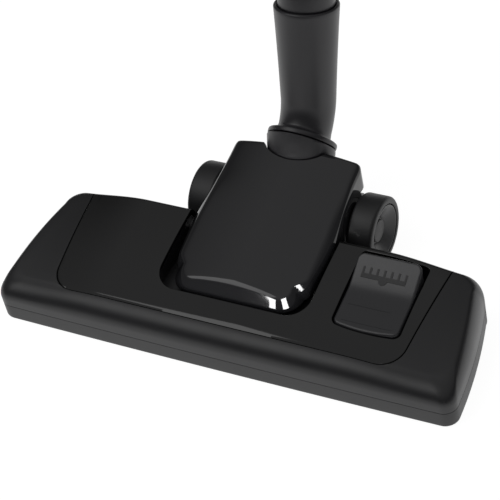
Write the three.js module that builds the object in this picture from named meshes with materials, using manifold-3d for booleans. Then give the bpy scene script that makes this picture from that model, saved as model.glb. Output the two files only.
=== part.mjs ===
// Combination floor head of a canister vacuum cleaner: a wide nozzle with a gloss trim panel, a foot
// pedal that lowers two rows of bristles, a hooded barrel that tilts on the wheel axle, and a bent
// neck that swivels on the barrel. Millimetres, +Z up, front at -Y, origin on the sole at mid-depth.
import * as THREE from "three";
import { mergeVertices } from "three/addons/utils/BufferGeometryUtils.js";
import Module from "manifold-3d";

const wasm = await Module();
wasm.setup();
const SLIVER = 0.01; // edges and ridges smaller than this are dropped

// ---------------------------------------------------------------- driving dimensions
const HEAD_WIDTH = 280; // across the front of the nozzle
const HEAD_DEPTH = 81; // front edge to rear edge of the nozzle
const SEAM_HEIGHT = 10.3; // parting line between base and top shell
const FRONT_HEIGHT = 27; // crest of the front roll
const REAR_HEIGHT = 40; // rear edge of the top shell at the middle
const END_DROP = 6.5; // how much lower the rear edge is at the two ends
const WALL = 2.2; // moulded wall
const PANEL_WALL = 2.2; // gloss trim panel
const GAP = 0.35; // clearance between touching pieces

const FRONT_ROLL = 13; // plan depth of the rounded front edge
const END_ROLL = 6; // plan depth of the rounded ends
const REAR_ROLL = 6; // plan depth of the rounded rear edge
const CORNER_R = 7.5; // plan corner radius
const END_SLOPE = 0.05; // lean of an end wall where it leaves the front corner
const END_BOW = 0.0016; // curvature of an end wall
const BASE_EDGE = 0.8; // chamfer round the sole
const FRONT_BOW = 0.8; // how far the front edge bows out at the middle

const WHEEL_R = 20.2;
const WHEEL_LIFT = 0.4; // wheels clear of the floor that the sole rests on
const WHEEL_WIDTH = 15;
const TREAD_R = 16.2; // inside of the tyre
const WHEEL_OUTER_X = 58.3; // outer face of each wheel
const AXLE_R = 2.5;
const AXLE_BEHIND_HEAD = 25.8; // axle centre behind the rear edge of the nozzle
const BARREL_R = 18.5;
const BARREL_HALF = 31; // half length of the barrel along the axle
const BARREL_WALL = 2;
const BARREL_HUB_R = 5.5;
const CHEEK_WALL = 4.5; // base arms that carry the axle
const HOOD_WALL = 2.4;
const HOOD_SIDE_X = 39.8; // outside of the hood beside the axle
const HOOD_BOSS_R = 19; // round boss of each hood side, about the axle
const HOOD_CLEARANCE = 1.6; // round hole in the hood, wider than the swivel socket
const HOOD_AHEAD = 81.5; // hood front edge ahead of the axle
const HOOD_BEHIND = 21.5; // hood rear edge behind the axle
const HOOD_RISE = 15.8; // hood face above the axle at its front crest
const HOOD_SLOPE = 0.238;

const RECESS_HALF = 46.5; // half width of the bay in the nozzle that the hood sits in
const RECESS_FRONT = 24; // bay front edge, behind the nozzle's front edge
const RECESS_R = 13;
const RECESS_FLOOR = 22.5; // top of the bay floor
const FLOOR_WALL = 1.8;

const SWIVEL_TILT = 57; // swivel axis, degrees from vertical, leaning back
const SWIVEL_RISE = 33.1; // swivel plane above the axle
const SWIVEL_BEHIND_AXLE = 24.5; // swivel plane behind the axle
const COLLAR_R = 20.3;
const SOCKET_BORE = 14.6;
const SOCKET_WALL = 3;
const FOOT_R = 18.6; // outside of the socket at its knee
const SPIGOT_R = 14.1; // the neck's spigot, running in the socket
const LIP = 4; // depth of the socket's lip that the retaining ring hooks under
const FLANGE = 3.4; // top of the neck's flange past the swivel plane
const NECK_BEND = 40; // bend of the neck, degrees
const NECK_BEND_R = 35;
const NECK_STRAIGHT = 55;
const NECK_ROOT_R = 15.3; // outside of the neck at the swivel
const NECK_RIM_R = 18.6; // outside of the neck at its rim
const NECK_WALL = 2;
const WAND_R = 16.2; // outside of the 32 mm wand system
const WAND_TAPER = 0.9; // how much the sleeve's radius shrinks along the socket
const SOCKET_DEPTH = 26;
const SLEEVE_WALL = 1.3;
const SLEEVE_SHOWN = 45; // length of sleeve above the rim

const PEDAL_INSET = 58.5; // centre of the pedal, in from the end of the nozzle
const PEDAL_WIDTH = 38;
const PEDAL_LENGTH = 42;
const PEDAL_SETBACK = 26; // pedal front edge, behind the nozzle's front edge
const PEDAL_REAR_TREAD = 17.5; // length of the tread behind the crease
const PEDAL_WALL = 2;
const PEDAL_GAP = 0.7; // pedal to the sides of its well
const WELL_FRONT_GAP = 1.4;
const WELL_REAR_GAP = 5.6; // room for the rear tread as it swings down
const PEDAL_REAR_LIFT = 6.3; // rear edge above the panel, brushes up
const PEDAL_PIN_DROP = 7.6; // pin centre below the crease
const PEDAL_TURN = 20; // degrees from one detent to the other
const PIN_R = 1.8;

const WELL_FLOOR = 17.2;
const POST_RISE = 2; // brush post above the well floor, brushes up
const POST_INSET = 11; // brush post, in from the side of the well

const BRISTLE_TRAVEL = 4.5;
const CARRIER_INSET = 23; // end of the brush carrier, in from the end of the nozzle
const CARRIER_LOW = 8.2; // underside of the carrier, brushes up
const CARRIER_THICK = 2.4;
const CARRIER_BAR = 6.4; // width of a carrier bar
const CARRIER_END = 5; // width of the carrier's end bars, which ride on the springs
const STRIP_WIDTH = 4.2;
const STRIP_PLAY = 0.8; // each side of a strip in its slot
const FRONT_STRIP_SETBACK = 11.5; // front strip behind the nozzle's front edge
const REAR_STRIP_SETBACK = 8.4; // rear strips behind the mouth
const MOUTH_INSET = 36; // end of the mouth, in from the end of the nozzle
const MOUTH_SETBACK = 17.5; // mouth behind the nozzle's front edge
const MOUTH_DEPTH = 11;
const DUCT_HALF = 30;
const DUCT_TOP = 20;
const DUCT_LOW = 3.8;
const DUCT_SKIN = 1.6;
const CHAMBER_TOP = 15;
const CHAMBER_WALL = 2;
const SOLE_THICK = 1;
const SOLE_INSET = 8; // steel sole, in from the front edge
const BASE_FLOOR = 3.4; // inside floor of the base
const LINT_WIDTH = 6;
const LINT_LENGTH = 70;
const LINT_INNER = 30; // inner end of a lint strip
const LINT_SETBACK = 9.6; // lint strip behind the rear bristle strips

const SCREW_R = 1.5;
const SCREW_HEAD_R = 3.3;
const SCREW_BOSS_R = 4;
const SCREW_END_INSET = 16; // front screws, in from the end of the nozzle

// ---------------------------------------------------------------- places that follow from them
const FRONT_Y = -HEAD_DEPTH / 2;
const REAR_Y = HEAD_DEPTH / 2;
const AXLE_Y = REAR_Y + AXLE_BEHIND_HEAD;
const AXLE_Z = WHEEL_R + WHEEL_LIFT;
const WHEEL_INNER_X = WHEEL_OUTER_X - WHEEL_WIDTH;
const CHEEK_INNER_X = BARREL_HALF + 1;
const SWIVEL_Y = AXLE_Y + SWIVEL_BEHIND_AXLE;
const SWIVEL_Z = AXLE_Z + SWIVEL_RISE;
const PANEL_FRONT_Y = FRONT_Y + 9.6;
const PANEL_HALF_FRONT = HEAD_WIDTH / 2 - 34;
const PANEL_HALF_REAR = HEAD_WIDTH / 2 - 25.5;
const RECESS_Y = FRONT_Y + RECESS_FRONT;
const MOUTH_HALF = HEAD_WIDTH / 2 - MOUTH_INSET;
const MOUTH_FRONT = FRONT_Y + MOUTH_SETBACK;
const MOUTH_REAR = MOUTH_FRONT + MOUTH_DEPTH;
const CARRIER_HALF = HEAD_WIDTH / 2 - CARRIER_INSET;
const CARRIER_TOP = CARRIER_LOW + CARRIER_THICK;
const PEDAL_X = HEAD_WIDTH / 2 - PEDAL_INSET;
const PEDAL_FRONT = FRONT_Y + PEDAL_SETBACK;
const PEDAL_REAR = PEDAL_FRONT + PEDAL_LENGTH;
const PEDAL_CREASE = PEDAL_REAR - PEDAL_REAR_TREAD; // the bend between the two treads, above the pin
const radians = THREE.MathUtils.degToRad;
const swivelAxis = new THREE.Vector3(0, Math.sin(radians(SWIVEL_TILT)), Math.cos(radians(SWIVEL_TILT)));
const swivelCentre = new THREE.Vector3(0, SWIVEL_Y, SWIVEL_Z);

// ---------------------------------------------------------------- solids
function solid(geometry) {
  const g = geometry.clone();
  g.deleteAttribute("normal");
  g.deleteAttribute("uv");
  const m = mergeVertices(g, 1e-4);
  return new wasm.Manifold(
    new wasm.Mesh({
      numProp: 3,
      vertProperties: m.attributes.position.array,
      triVerts: new Uint32Array(m.index.array),
    }),
  );
}

// The mesh of a finished piece, without the slivers that cuts leave.
function geometryOf(manifold) {
  const m = manifold.simplify(SLIVER).getMesh();
  const position = new Float32Array(m.numVert * 3);
  for (let i = 0; i < m.numVert; i++) {
    position.set(m.vertProperties.subarray(i * m.numProp, i * m.numProp + 3), i * 3);
  }
  const g = new THREE.BufferGeometry();
  g.setAttribute("position", new THREE.BufferAttribute(position, 3));
  g.setIndex(new THREE.BufferAttribute(m.triVerts, 1));
  return g;
}

function box(x0, x1, y0, y1, z0, z1) {
  const g = new THREE.BoxGeometry(x1 - x0, y1 - y0, z1 - z0);
  g.translate((x0 + x1) / 2, (y0 + y1) / 2, (z0 + z1) / 2);
  return solid(g);
}

// A box on one side of the middle plane, from a to b millimetres out.
function boxBeside(side, a, b, y0, y1, z0, z1) {
  return box(Math.min(side * a, side * b), Math.max(side * a, side * b), y0, y1, z0, z1);
}

// A rod along X between x0 and x1, centred on (y, z).
function rodX(r, x0, x1, y, z, sides = 28) {
  const g = new THREE.CylinderGeometry(r, r, x1 - x0, sides);
  g.rotateZ(Math.PI / 2);
  g.translate((x0 + x1) / 2, y, z);
  return solid(g);
}

function rodZ(r, x, y, z0, z1, sides = 20) {
  const g = new THREE.CylinderGeometry(r, r, z1 - z0, sides);
  g.rotateX(Math.PI / 2);
  g.translate(x, y, (z0 + z1) / 2);
  return solid(g);
}

// A plan outline, as [x, y] points, raised from z0 to z1.
function prism(points, z0, z1) {
  const shape = new THREE.Shape(points.map(([x, y]) => new THREE.Vector2(x, y)));
  const g = new THREE.ExtrudeGeometry(shape, { depth: z1 - z0, bevelEnabled: false });
  g.translate(0, 0, z0);
  return solid(g);
}

// A side outline, as [y, z] points, carried along X from x0 to x1.
function prismX(points, x0, x1) {
  const shape = new THREE.Shape(points.map(([y, z]) => new THREE.Vector2(y, z)));
  const g = new THREE.ExtrudeGeometry(shape, { depth: x1 - x0, bevelEnabled: false });
  g.applyMatrix4(new THREE.Matrix4().set(0, 0, 1, 0, 1, 0, 0, 0, 0, 1, 0, 0, 0, 0, 0, 1));
  g.translate(x0, 0, 0);
  return solid(g);
}

// Closed rings of equal length, joined by side walls and closed by a flat cap at each end. A last ring
// that is folded onto a line by foldRing needs no cap.
function loft(rings, folded = false) {
  const n = rings[0].length;
  const position = rings.flat(2);
  const index = [];
  for (let k = 0; k + 1 < rings.length; k++) {
    for (let i = 0; i < n; i++) {
      const a = k * n + i;
      const b = k * n + ((i + 1) % n);
      index.push(a, b, b + n, a, b + n, a + n);
    }
  }
  const cap = (ring, flip, offset) => {
    const flat = flatten(ring);
    for (const [a, b, c] of THREE.ShapeUtils.triangulateShape(flat, [])) {
      index.push(...(flip ? [offset + a, offset + c, offset + b] : [offset + a, offset + b, offset + c]));
    }
  };
  cap(rings[0], true, 0);
  if (!folded) cap(rings[rings.length - 1], false, (rings.length - 1) * n);
  const g = new THREE.BufferGeometry();
  g.setAttribute("position", new THREE.Float32BufferAttribute(position, 3));
  g.setIndex(index);
  return solid(g);
}

// A plan outline folded onto a line: each point meets its partner across the fold.
function foldRing(points, firstPartner) {
  const n = points.length;
  return points.map(([x, y], i) => {
    const [u, v] = points[(firstPartner - i + n) % n];
    return [(x + u) / 2, (y + v) / 2];
  });
}

// A ring's points in its own plane, turning anticlockwise.
function flatten(ring) {
  const p = ring.map((q) => new THREE.Vector3(...q));
  const normal = new THREE.Vector3();
  p.forEach((q, i) => normal.add(new THREE.Vector3().crossVectors(q, p[(i + 1) % p.length])));
  normal.normalize();
  const u = new THREE.Vector3().subVectors(p[1], p[0]).normalize();
  const v = new THREE.Vector3().crossVectors(normal, u);
  return p.map((q) => new THREE.Vector2(q.dot(u), q.dot(v)));
}

// A round ring square to a direction in the YZ plane that leans back by an angle from vertical.
function tiltedRing(y, z, lean, r, sides) {
  const c = Math.cos(radians(lean));
  const s = Math.sin(radians(lean));
  return Array.from({ length: sides }, (_, i) => {
    const t = (2 * Math.PI * i) / sides;
    return [r * Math.cos(t), y + r * Math.sin(t) * c, z - r * Math.sin(t) * s];
  });
}

// A rod on the swivel axis from a to b millimetres past the swivel plane.
function rodSwivel(r, a, b, sides = 32) {
  const at = (t) => swivelCentre.clone().addScaledVector(swivelAxis, t);
  const [p, q] = [at(a), at(b)];
  return loft([tiltedRing(p.y, p.z, SWIVEL_TILT, r, sides), tiltedRing(q.y, q.z, SWIVEL_TILT, r, sides)]);
}

const smooth = (t) => {
  const c = Math.min(Math.max(t, 0), 1);
  return c * c * (3 - 2 * c);
};

// ---------------------------------------------------------------- the nozzle's outside
// Height of the top surface: it climbs from the front roll to the rear edge and drops at the ends.
function topHeight(x, y) {
  const span = HEAD_DEPTH - 11;
  const rise = Math.min(Math.max((y - FRONT_Y - 10) / span, 0), 1);
  const crown = FRONT_HEIGHT + (REAR_HEIGHT - FRONT_HEIGHT) * rise + 1.5 * Math.sin(Math.PI * rise);
  const outer = smooth((Math.abs(x) - (HEAD_WIDTH / 2 - 65)) / 55);
  return crown - END_DROP * outer * (0.35 + 0.65 * rise);
}

// Half width of the nozzle at depth y, taken in by an inset.
function endX(y, inset) {
  const t = Math.max(y - FRONT_Y - 5, 0);
  return HEAD_WIDTH / 2 + 0.6 - END_SLOPE * t - END_BOW * t * t - inset;
}

const EDGE_STEPS = [0, 0.35, 0.58, 0.72, 0.86]; // shares of half the width, closer where the ends drop

// The plan outline, anticlockwise, inset by separate amounts at the front, the ends and the rear.
function planOutline(front, end, rear, corner = CORNER_R) {
  const right = [];
  const yf = FRONT_Y + front;
  const yr = REAR_Y - rear;
  const rc = Math.max(corner, 1.5);
  const xf = endX(yf + rc, end);
  const xr = endX(yr - rc, end);
  for (const f of EDGE_STEPS) right.push([(xf - rc) * f, yf]);
  for (let i = 0; i <= 3; i++) {
    const t = (Math.PI / 2) * (i / 3);
    right.push([xf - rc + rc * Math.sin(t), yf + rc - rc * Math.cos(t)]);
  }
  for (let i = 1; i < 4; i++) {
    const y = yf + rc + ((yr - yf - 2 * rc) * i) / 4;
    right.push([endX(y, end), y]);
  }
  for (let i = 0; i <= 3; i++) {
    const t = (Math.PI / 2) * (i / 3);
    right.push([xr - rc + rc * Math.cos(t), yr - rc + rc * Math.sin(t)]);
  }
  for (const f of EDGE_STEPS.slice(1).reverse()) right.push([(xr - rc) * f, yr]);
  const left = right.slice(1).reverse().map(([x, y]) => [-x, y]);
  const bowed = ([x, y]) => {
    const share = Math.max(0, 1 - ((y - FRONT_Y) * 2) / HEAD_DEPTH);
    return [x, y - FRONT_BOW * share * (1 - (2 * x / HEAD_WIDTH) ** 2)];
  };
  return [...right, [0, yr], ...left].map(bowed);
}

// A solid under the top surface, from zLow up, shrunk on all sides by an inset and then sunk.
function pillow(inset, zLow, sink = 0) {
  const raise = (points, z) => points.map(([x, y]) => [x, y - 0.8 * sink, z(x, y) - sink]);
  const edge = Math.max(CORNER_R - inset, 2);
  const rings = [raise(planOutline(inset, inset, inset, edge), () => zLow)];
  const base = Math.max(zLow, SEAM_HEIGHT) + 1;
  const steps = 4;
  for (let k = 0; k <= steps; k++) {
    const t = (Math.PI / 2) * (k / steps);
    const inward = 1 - Math.cos(t);
    const plan = planOutline(
      inset + FRONT_ROLL * inward,
      inset + END_ROLL * inward,
      inset + REAR_ROLL * inward,
      edge + 4 * inward,
    );
    rings.push(raise(plan, (x, y) => base + (topHeight(x, y) - inset - base) * (0.25 + 0.75 * Math.sin(t))));
  }
  // The flat of the top keeps one plan at every inset, so that nested skins stay parallel.
  const flat = planOutline(FRONT_ROLL + 6, END_ROLL + 6, REAR_ROLL + 6, CORNER_R);
  for (const f of [0, 0.35, 0.7]) {
    const shrunk = flat.map(([x, y]) => [x * (1 - 0.2 * f), y * (1 - 0.9 * f)]);
    rings.push(raise(shrunk, (x, y) => topHeight(x, y) - inset));
  }
  const spine = foldRing(flat, flat.length / 2).map(([x]) => [x * 0.8, 0]);
  rings.push(raise(spine, (x, y) => topHeight(x, y) - inset));
  return loft(rings, true);
}

// A plan outline with rounded front corners that runs out past the rear: panel, bay and pedal well.
function bay(xFront, xRear, yFront, yRear, r, grow = 0) {
  const right = [];
  const xf = xFront + grow;
  const y0 = yFront - grow;
  for (let i = 0; i <= 6; i++) {
    const t = (Math.PI / 2) * (i / 6);
    right.push([xf - r + r * Math.sin(t), y0 + r - r * Math.cos(t)]);
  }
  right.push([xRear + grow, yRear + grow]);
  return [...right, ...right.slice().reverse().map(([x, y]) => [-x, y])];
}

// ---------------------------------------------------------------- nozzle pieces
const wellX0 = PEDAL_X - PEDAL_WIDTH / 2 - PEDAL_GAP;
const wellX1 = PEDAL_X + PEDAL_WIDTH / 2 + PEDAL_GAP;
const wellY0 = PEDAL_FRONT - WELL_FRONT_GAP;
const wellY1 = PEDAL_REAR + WELL_REAR_GAP;
const pinZ = topHeight(PEDAL_X, PEDAL_CREASE) - PEDAL_PIN_DROP;
const postX = wellX0 + POST_INSET;
const postY = PEDAL_CREASE + BRISTLE_TRAVEL / radians(PEDAL_TURN); // the lever arm that gives the travel
const postTop = WELL_FLOOR + POST_RISE;
const screwX = HEAD_WIDTH / 2 - SCREW_END_INSET;
const screwSpots = [
  [-screwX, FRONT_Y + 18.5],
  [screwX, FRONT_Y + 18.5],
  [5 - screwX, REAR_Y - 13.5],
  [screwX - 5, REAR_Y - 13.5],
  [-RECESS_HALF - 7.5, REAR_Y - 10.5],
  [RECESS_HALF + 7.5, REAR_Y - 10.5],
];

function wellOutline(grow) {
  return [
    [wellX0 - grow, wellY0 - grow],
    [wellX1 + grow, wellY0 - grow],
    [wellX1 + grow, wellY1 + grow],
    [wellX0 - grow, wellY1 + grow],
  ];
}

function topShell() {
  const outer = pillow(0, SEAM_HEIGHT + GAP);
  const pocket = prism(bay(PANEL_HALF_FRONT, PANEL_HALF_REAR, PANEL_FRONT_Y, REAR_Y + 10, 14, GAP), 20, 80)
    .subtract(pillow(0, 0, PANEL_WALL + GAP));
  const bayBlock = prism(bay(RECESS_HALF, RECESS_HALF, RECESS_Y, REAR_Y + 10, RECESS_R, WALL), 0, 80);
  const wellBlock = prism(wellOutline(WALL), WELL_FLOOR - FLOOR_WALL, 80);
  const bosses = screwSpots.map(([x, y]) => rodZ(SCREW_BOSS_R, x, y, 4, 30));
  const hollow = pillow(PANEL_WALL + 2 * GAP + WALL, 0)
    .subtract(bayBlock.intersect(box(-99, 99, -99, 99, RECESS_FLOOR - FLOOR_WALL, 80)))
    .subtract(wellBlock);
  let shell = outer.subtract(pocket).subtract(hollow);
  const bayPlan = bay(RECESS_HALF, RECESS_HALF, RECESS_Y, REAR_Y + 10, RECESS_R);
  shell = shell.subtract(prism(bayPlan, RECESS_FLOOR, 80));
  shell = shell.subtract(prism(wellOutline(0), WELL_FLOOR, 80));
  shell = shell.subtract(box(postX - 3, postX + 3, postY - 6, postY + 3.5, 0, 30));
  for (const boss of bosses) shell = shell.add(boss.intersect(pillow(1.2, 4)));
  for (const [x, y] of screwSpots) shell = shell.subtract(rodZ(SCREW_R + GAP, x, y, 0, 13.5, 12));
  // The rear wall opens below the bay floor for the air duct and for the arms that reach the axle.
  const arms = CHEEK_INNER_X + CHEEK_WALL + GAP;
  shell = shell.subtract(box(-arms, arms, REAR_Y - 12, REAR_Y + 10, 0, DUCT_TOP + GAP));
  shell = shell.subtract(rodX(PIN_R + GAP, wellX0 - 1.5, wellX1 + 1.5, PEDAL_CREASE, pinZ, 12));
  return shell.subtract(box(-arms, arms, REAR_Y - 4, REAR_Y + 10, 0, 80));
}

function trimPanel() {
  const plan = prism(bay(PANEL_HALF_FRONT, PANEL_HALF_REAR, PANEL_FRONT_Y, REAR_Y + 10, 14), 20.5, 80);
  const skin = pillow(0, SEAM_HEIGHT + GAP).subtract(pillow(0, 0, PANEL_WALL));
  return plan
    .intersect(skin)
    .subtract(prism(bay(RECESS_HALF, RECESS_HALF, RECESS_Y, REAR_Y + 10, RECESS_R), 0, 80))
    .subtract(prism(wellOutline(0), 0, 80));
}

function baseShell() {
  const raise = (points, z) => points.map(([x, y]) => [x, y, z]);
  const outer = loft([
    raise(planOutline(BASE_EDGE, BASE_EDGE, BASE_EDGE, CORNER_R), 0),
    raise(planOutline(0, 0, 0), 2 * BASE_EDGE),
    raise(planOutline(0, 0, 0), SEAM_HEIGHT),
  ]);
  const inner = loft([
    raise(planOutline(WALL, WALL, WALL, CORNER_R - WALL), BASE_FLOOR),
    raise(planOutline(WALL, WALL, WALL, CORNER_R - WALL), SEAM_HEIGHT + 5),
  ]);
  let base = outer.subtract(inner);
  base = base.subtract(solePocket(GAP, -1, SOLE_THICK + GAP));
  // One window in the floor clears the mouth and the bristles; the steel sole closes round them.
  const slot = STRIP_WIDTH / 2 + STRIP_PLAY;
  base = base.subtract(box(-slotEnd, slotEnd, frontStripY - slot, rearStripY + slot, -2, BASE_FLOOR + 1));
  // Two arms run back beside the barrel and carry the axle.
  for (const side of [-1, 1]) {
    const x0 = side * CHEEK_INNER_X;
    const x1 = side * (CHEEK_INNER_X + CHEEK_WALL);
    const [a, b] = [Math.min(x0, x1), Math.max(x0, x1)];
    const outline = [
      [REAR_Y - 9, 2],
      [AXLE_Y, AXLE_Z - 9],
      [AXLE_Y, AXLE_Z + 9],
      [REAR_Y - 3, DUCT_TOP],
      [REAR_Y - 9, DUCT_TOP],
    ];
    const arm = prismX(outline, a, b);
    base = base.add(arm).add(rodX(9, a, b, AXLE_Y, AXLE_Z, 24));
  }
  base = base.subtract(box(-CHEEK_INNER_X, CHEEK_INNER_X, REAR_Y - 9, REAR_Y + 20, 3, 40));
  for (const [x, y] of screwSpots) {
    base = base.add(rodZ(SCREW_HEAD_R + 1.3, x, y, 1.4, BASE_FLOOR + 0.2));
    base = base.subtract(rodZ(SCREW_R + GAP, x, y, -1, 6, 12));
    base = base.subtract(rodZ(SCREW_HEAD_R + GAP, x, y, -1, 2.4, 16));
  }
  return base.subtract(rodX(AXLE_R + GAP, -60, 60, AXLE_Y, AXLE_Z, 16));
}

function solePocket(grow, z0, z1) {
  const inset = SOLE_INSET - grow;
  return prism(planOutline(inset, inset + 12, inset + 10, 5), z0, z1);
}

const frontStripY = FRONT_Y + FRONT_STRIP_SETBACK;
const rearStripY = MOUTH_REAR + REAR_STRIP_SETBACK;
const rearStripInner = DUCT_HALF + 5;
const stripEnd = CARRIER_HALF - CARRIER_END - 2;
const slotEnd = stripEnd + 1;

// Slots through the sole for the mouth and the three bristle strips.
function soleSlots() {
  const half = STRIP_WIDTH / 2 + STRIP_PLAY;
  const rear = (side) =>
    boxBeside(side, rearStripInner - 1, slotEnd, rearStripY - half, rearStripY + half, -2, 5);
  return [
    box(-MOUTH_HALF, MOUTH_HALF, MOUTH_FRONT, MOUTH_REAR, -2, 5),
    box(-slotEnd, slotEnd, frontStripY - half, frontStripY + half, -2, 5),
    rear(1),
    rear(-1),
  ];
}

function solePlate() {
  let plate = solePocket(0, 0, SOLE_THICK);
  for (const slot of soleSlots()) plate = plate.subtract(slot);
  for (const side of [-1, 1]) plate = plate.subtract(lintBox(side, GAP, -1, 3));
  return plate;
}

function lintBox(side, grow, z0, z1) {
  const y = rearStripY + LINT_SETBACK;
  const [inner, outer] = [LINT_INNER - grow, LINT_INNER + LINT_LENGTH + grow];
  return boxBeside(side, inner, outer, y - grow, y + LINT_WIDTH + grow, z0, z1);
}

// The mouth chamber, which stands on the steel sole, and the flat duct that leads back to the barrel.
function airDuct() {
  const skin = DUCT_SKIN;
  const [front, rear] = [MOUTH_FRONT - CHAMBER_WALL, MOUTH_REAR + CHAMBER_WALL];
  const outer = box(-MOUTH_HALF - 3, MOUTH_HALF + 3, front, rear, SOLE_THICK + GAP, CHAMBER_TOP)
    .add(box(-DUCT_HALF, DUCT_HALF, front, AXLE_Y - 6, DUCT_LOW, DUCT_TOP));
  const inner = box(-MOUTH_HALF, MOUTH_HALF, MOUTH_FRONT, MOUTH_REAR, 0, CHAMBER_TOP - skin)
    .add(box(-DUCT_HALF + skin, DUCT_HALF - skin, MOUTH_FRONT, AXLE_Y, DUCT_LOW + skin, DUCT_TOP - skin));
  return outer.subtract(inner).subtract(rodX(BARREL_R + 1.6, -50, 50, AXLE_Y, AXLE_Z, 48));
}

// A soft lip that closes the gap between the duct and the turning barrel.
function ductSeal() {
  const outerR = BARREL_R + 1.3;
  const ring = rodX(outerR, -DUCT_HALF, DUCT_HALF, AXLE_Y, AXLE_Z, 48)
    .subtract(rodX(BARREL_R + 0.4, -50, 50, AXLE_Y, AXLE_Z, 48));
  const facing = box(-50, 50, 0, AXLE_Y - 6.4, DUCT_LOW + 0.6, DUCT_TOP - 0.4);
  const lip = DUCT_SKIN + 0.6;
  const open = box(-DUCT_HALF + lip, DUCT_HALF - lip, 0, AXLE_Y, DUCT_LOW + lip + 0.2, DUCT_TOP - lip);
  return ring.intersect(facing).subtract(open);
}

// ---------------------------------------------------------------- pedal and brushes
function pedal() {
  const top = (y) => topHeight(PEDAL_X, y) + 0.4;
  const rearZ = top(PEDAL_REAR) + PEDAL_REAR_LIFT;
  const creaseZ = top(PEDAL_CREASE);
  const frontZ = top(PEDAL_FRONT) - 0.4;
  const x0 = PEDAL_X - PEDAL_WIDTH / 2;
  const x1 = PEDAL_X + PEDAL_WIDTH / 2;
  const outline = [
    [PEDAL_FRONT, frontZ - 6],
    [PEDAL_CREASE, pinZ - 5.5],
    [PEDAL_REAR - 3, creaseZ - 5],
    [PEDAL_REAR, creaseZ - 1],
    [PEDAL_REAR, rearZ - 1.6],
    [PEDAL_REAR - 1.6, rearZ],
    [PEDAL_CREASE + 1.5, creaseZ + 0.6],
    [PEDAL_CREASE - 1.5, creaseZ],
    [PEDAL_FRONT + 1.2, frontZ],
    [PEDAL_FRONT, frontZ - 1.2],
  ];
  const hollow = [
    [PEDAL_FRONT + PEDAL_WALL, frontZ - 9],
    [PEDAL_CREASE, pinZ - 9],
    [PEDAL_REAR - PEDAL_WALL, creaseZ - 9],
    [PEDAL_REAR - PEDAL_WALL, rearZ - 4.4],
    [PEDAL_CREASE + 1, creaseZ - PEDAL_WALL - 0.2],
    [PEDAL_FRONT + PEDAL_WALL, frontZ - PEDAL_WALL - 0.2],
  ];
  let body = prismX(outline, x0, x1).subtract(prismX(hollow, x0 + PEDAL_WALL, x1 - PEDAL_WALL));
  // The web under the rear tread stands over the brush post and pushes it down.
  const web = box(postX - 1.1, postX + 1.1, postY - 2.5, postY + 2.5, postTop + 0.5, rearZ - 5)
    .add(box(postX - 1.1, postX + 1.1, PEDAL_CREASE, postY, pinZ - 3, pinZ + 1));
  body = body.add(web).add(rodX(4, x0 + 4, x1 - 4, PEDAL_CREASE, pinZ, 20));
  return body.subtract(rodX(PIN_R + GAP, -200, 200, PEDAL_CREASE, pinZ, 12));
}

// The frame that holds the bristle strips, with a post up to the pedal.
function brushCarrier() {
  const [low, high] = [CARRIER_LOW, CARRIER_TOP];
  const half = CARRIER_BAR / 2;
  const inner = CARRIER_HALF - CARRIER_END;
  let frame = box(-CARRIER_HALF, CARRIER_HALF, frontStripY - half, frontStripY + half, low, high);
  for (const side of [-1, 1]) {
    frame = frame
      .add(boxBeside(side, inner, CARRIER_HALF, frontStripY, rearStripY + half, low, high))
      .add(boxBeside(side, rearStripInner - 1.5, CARRIER_HALF, rearStripY - half, rearStripY + half, low, high))
      .add(boxBeside(side, rearStripInner, inner + 1, rearStripY - 1, rearStripY + 1, high - 1, high + 1.4));
  }
  frame = frame.add(box(postX - 3, postX + 3, rearStripY, postY + 2.5, low, high));
  return frame.add(box(postX - 2, postX + 2, postY - 2, postY + 2, high - 1, postTop));
}

function bristleStrip(x0, x1, y) {
  const w = STRIP_WIDTH / 2;
  return box(x0, x1, y - w, y + w, 4.6, CARRIER_LOW - GAP)
    .add(box(x0 + 1, x1 - 1, y - w + 0.9, y + w - 0.9, 0.6, 5));
}

// A coil of round wire standing on z0, as one swept tube.
function coilSpring(x, y, z0, z1, r, wire, turns) {
  const steps = turns * 9;
  const rings = [];
  for (let k = 0; k <= steps; k++) {
    const a = (2 * Math.PI * k) / 9;
    const z = z0 + wire + ((z1 - z0 - 2 * wire) * k) / steps;
    rings.push(Array.from({ length: 5 }, (_, i) => {
      const t = (2 * Math.PI * i) / 5;
      const radius = r + wire * Math.cos(t);
      return [x + radius * Math.cos(a), y + radius * Math.sin(a), z + wire * Math.sin(t)];
    }).reverse());
  }
  return loft(rings);
}

// A pan-head screw with a cross drive.
function screw(x, y) {
  const head = rodZ(SCREW_HEAD_R, x, y, 0.6, 2.2, 16);
  const [long, thin] = [2.2, 0.45];
  const drive = box(x - long, x + long, y - thin, y + thin, 0, 1.4)
    .add(box(x - thin, x + thin, y - long, y + long, 0, 1.4));
  return head.subtract(drive).add(rodZ(SCREW_R, x, y, 2, 12.5, 10));
}

// ---------------------------------------------------------------- axle and wheels
// A disc on the axle's line, on one side, from a to b millimetres out.
function wheelDisc(side, r, a, b, sides = 32) {
  return rodX(r, Math.min(side * a, side * b), Math.max(side * a, side * b), AXLE_Y, AXLE_Z, sides);
}

function tyre(side) {
  const x0 = side > 0 ? WHEEL_INNER_X : -WHEEL_OUTER_X;
  const round = 1.4;
  const profile = [
    [TREAD_R, 0],
    [WHEEL_R - round, 0],
    [WHEEL_R, round],
    [WHEEL_R, WHEEL_WIDTH - round],
    [WHEEL_R - round, WHEEL_WIDTH],
    [TREAD_R, WHEEL_WIDTH],
    [TREAD_R, 0],
  ];
  const g = new THREE.LatheGeometry(profile.map(([r, h]) => new THREE.Vector2(r, h)), 36);
  g.rotateZ(-Math.PI / 2);
  g.translate(x0, AXLE_Y, AXLE_Z);
  return solid(g);
}

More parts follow.
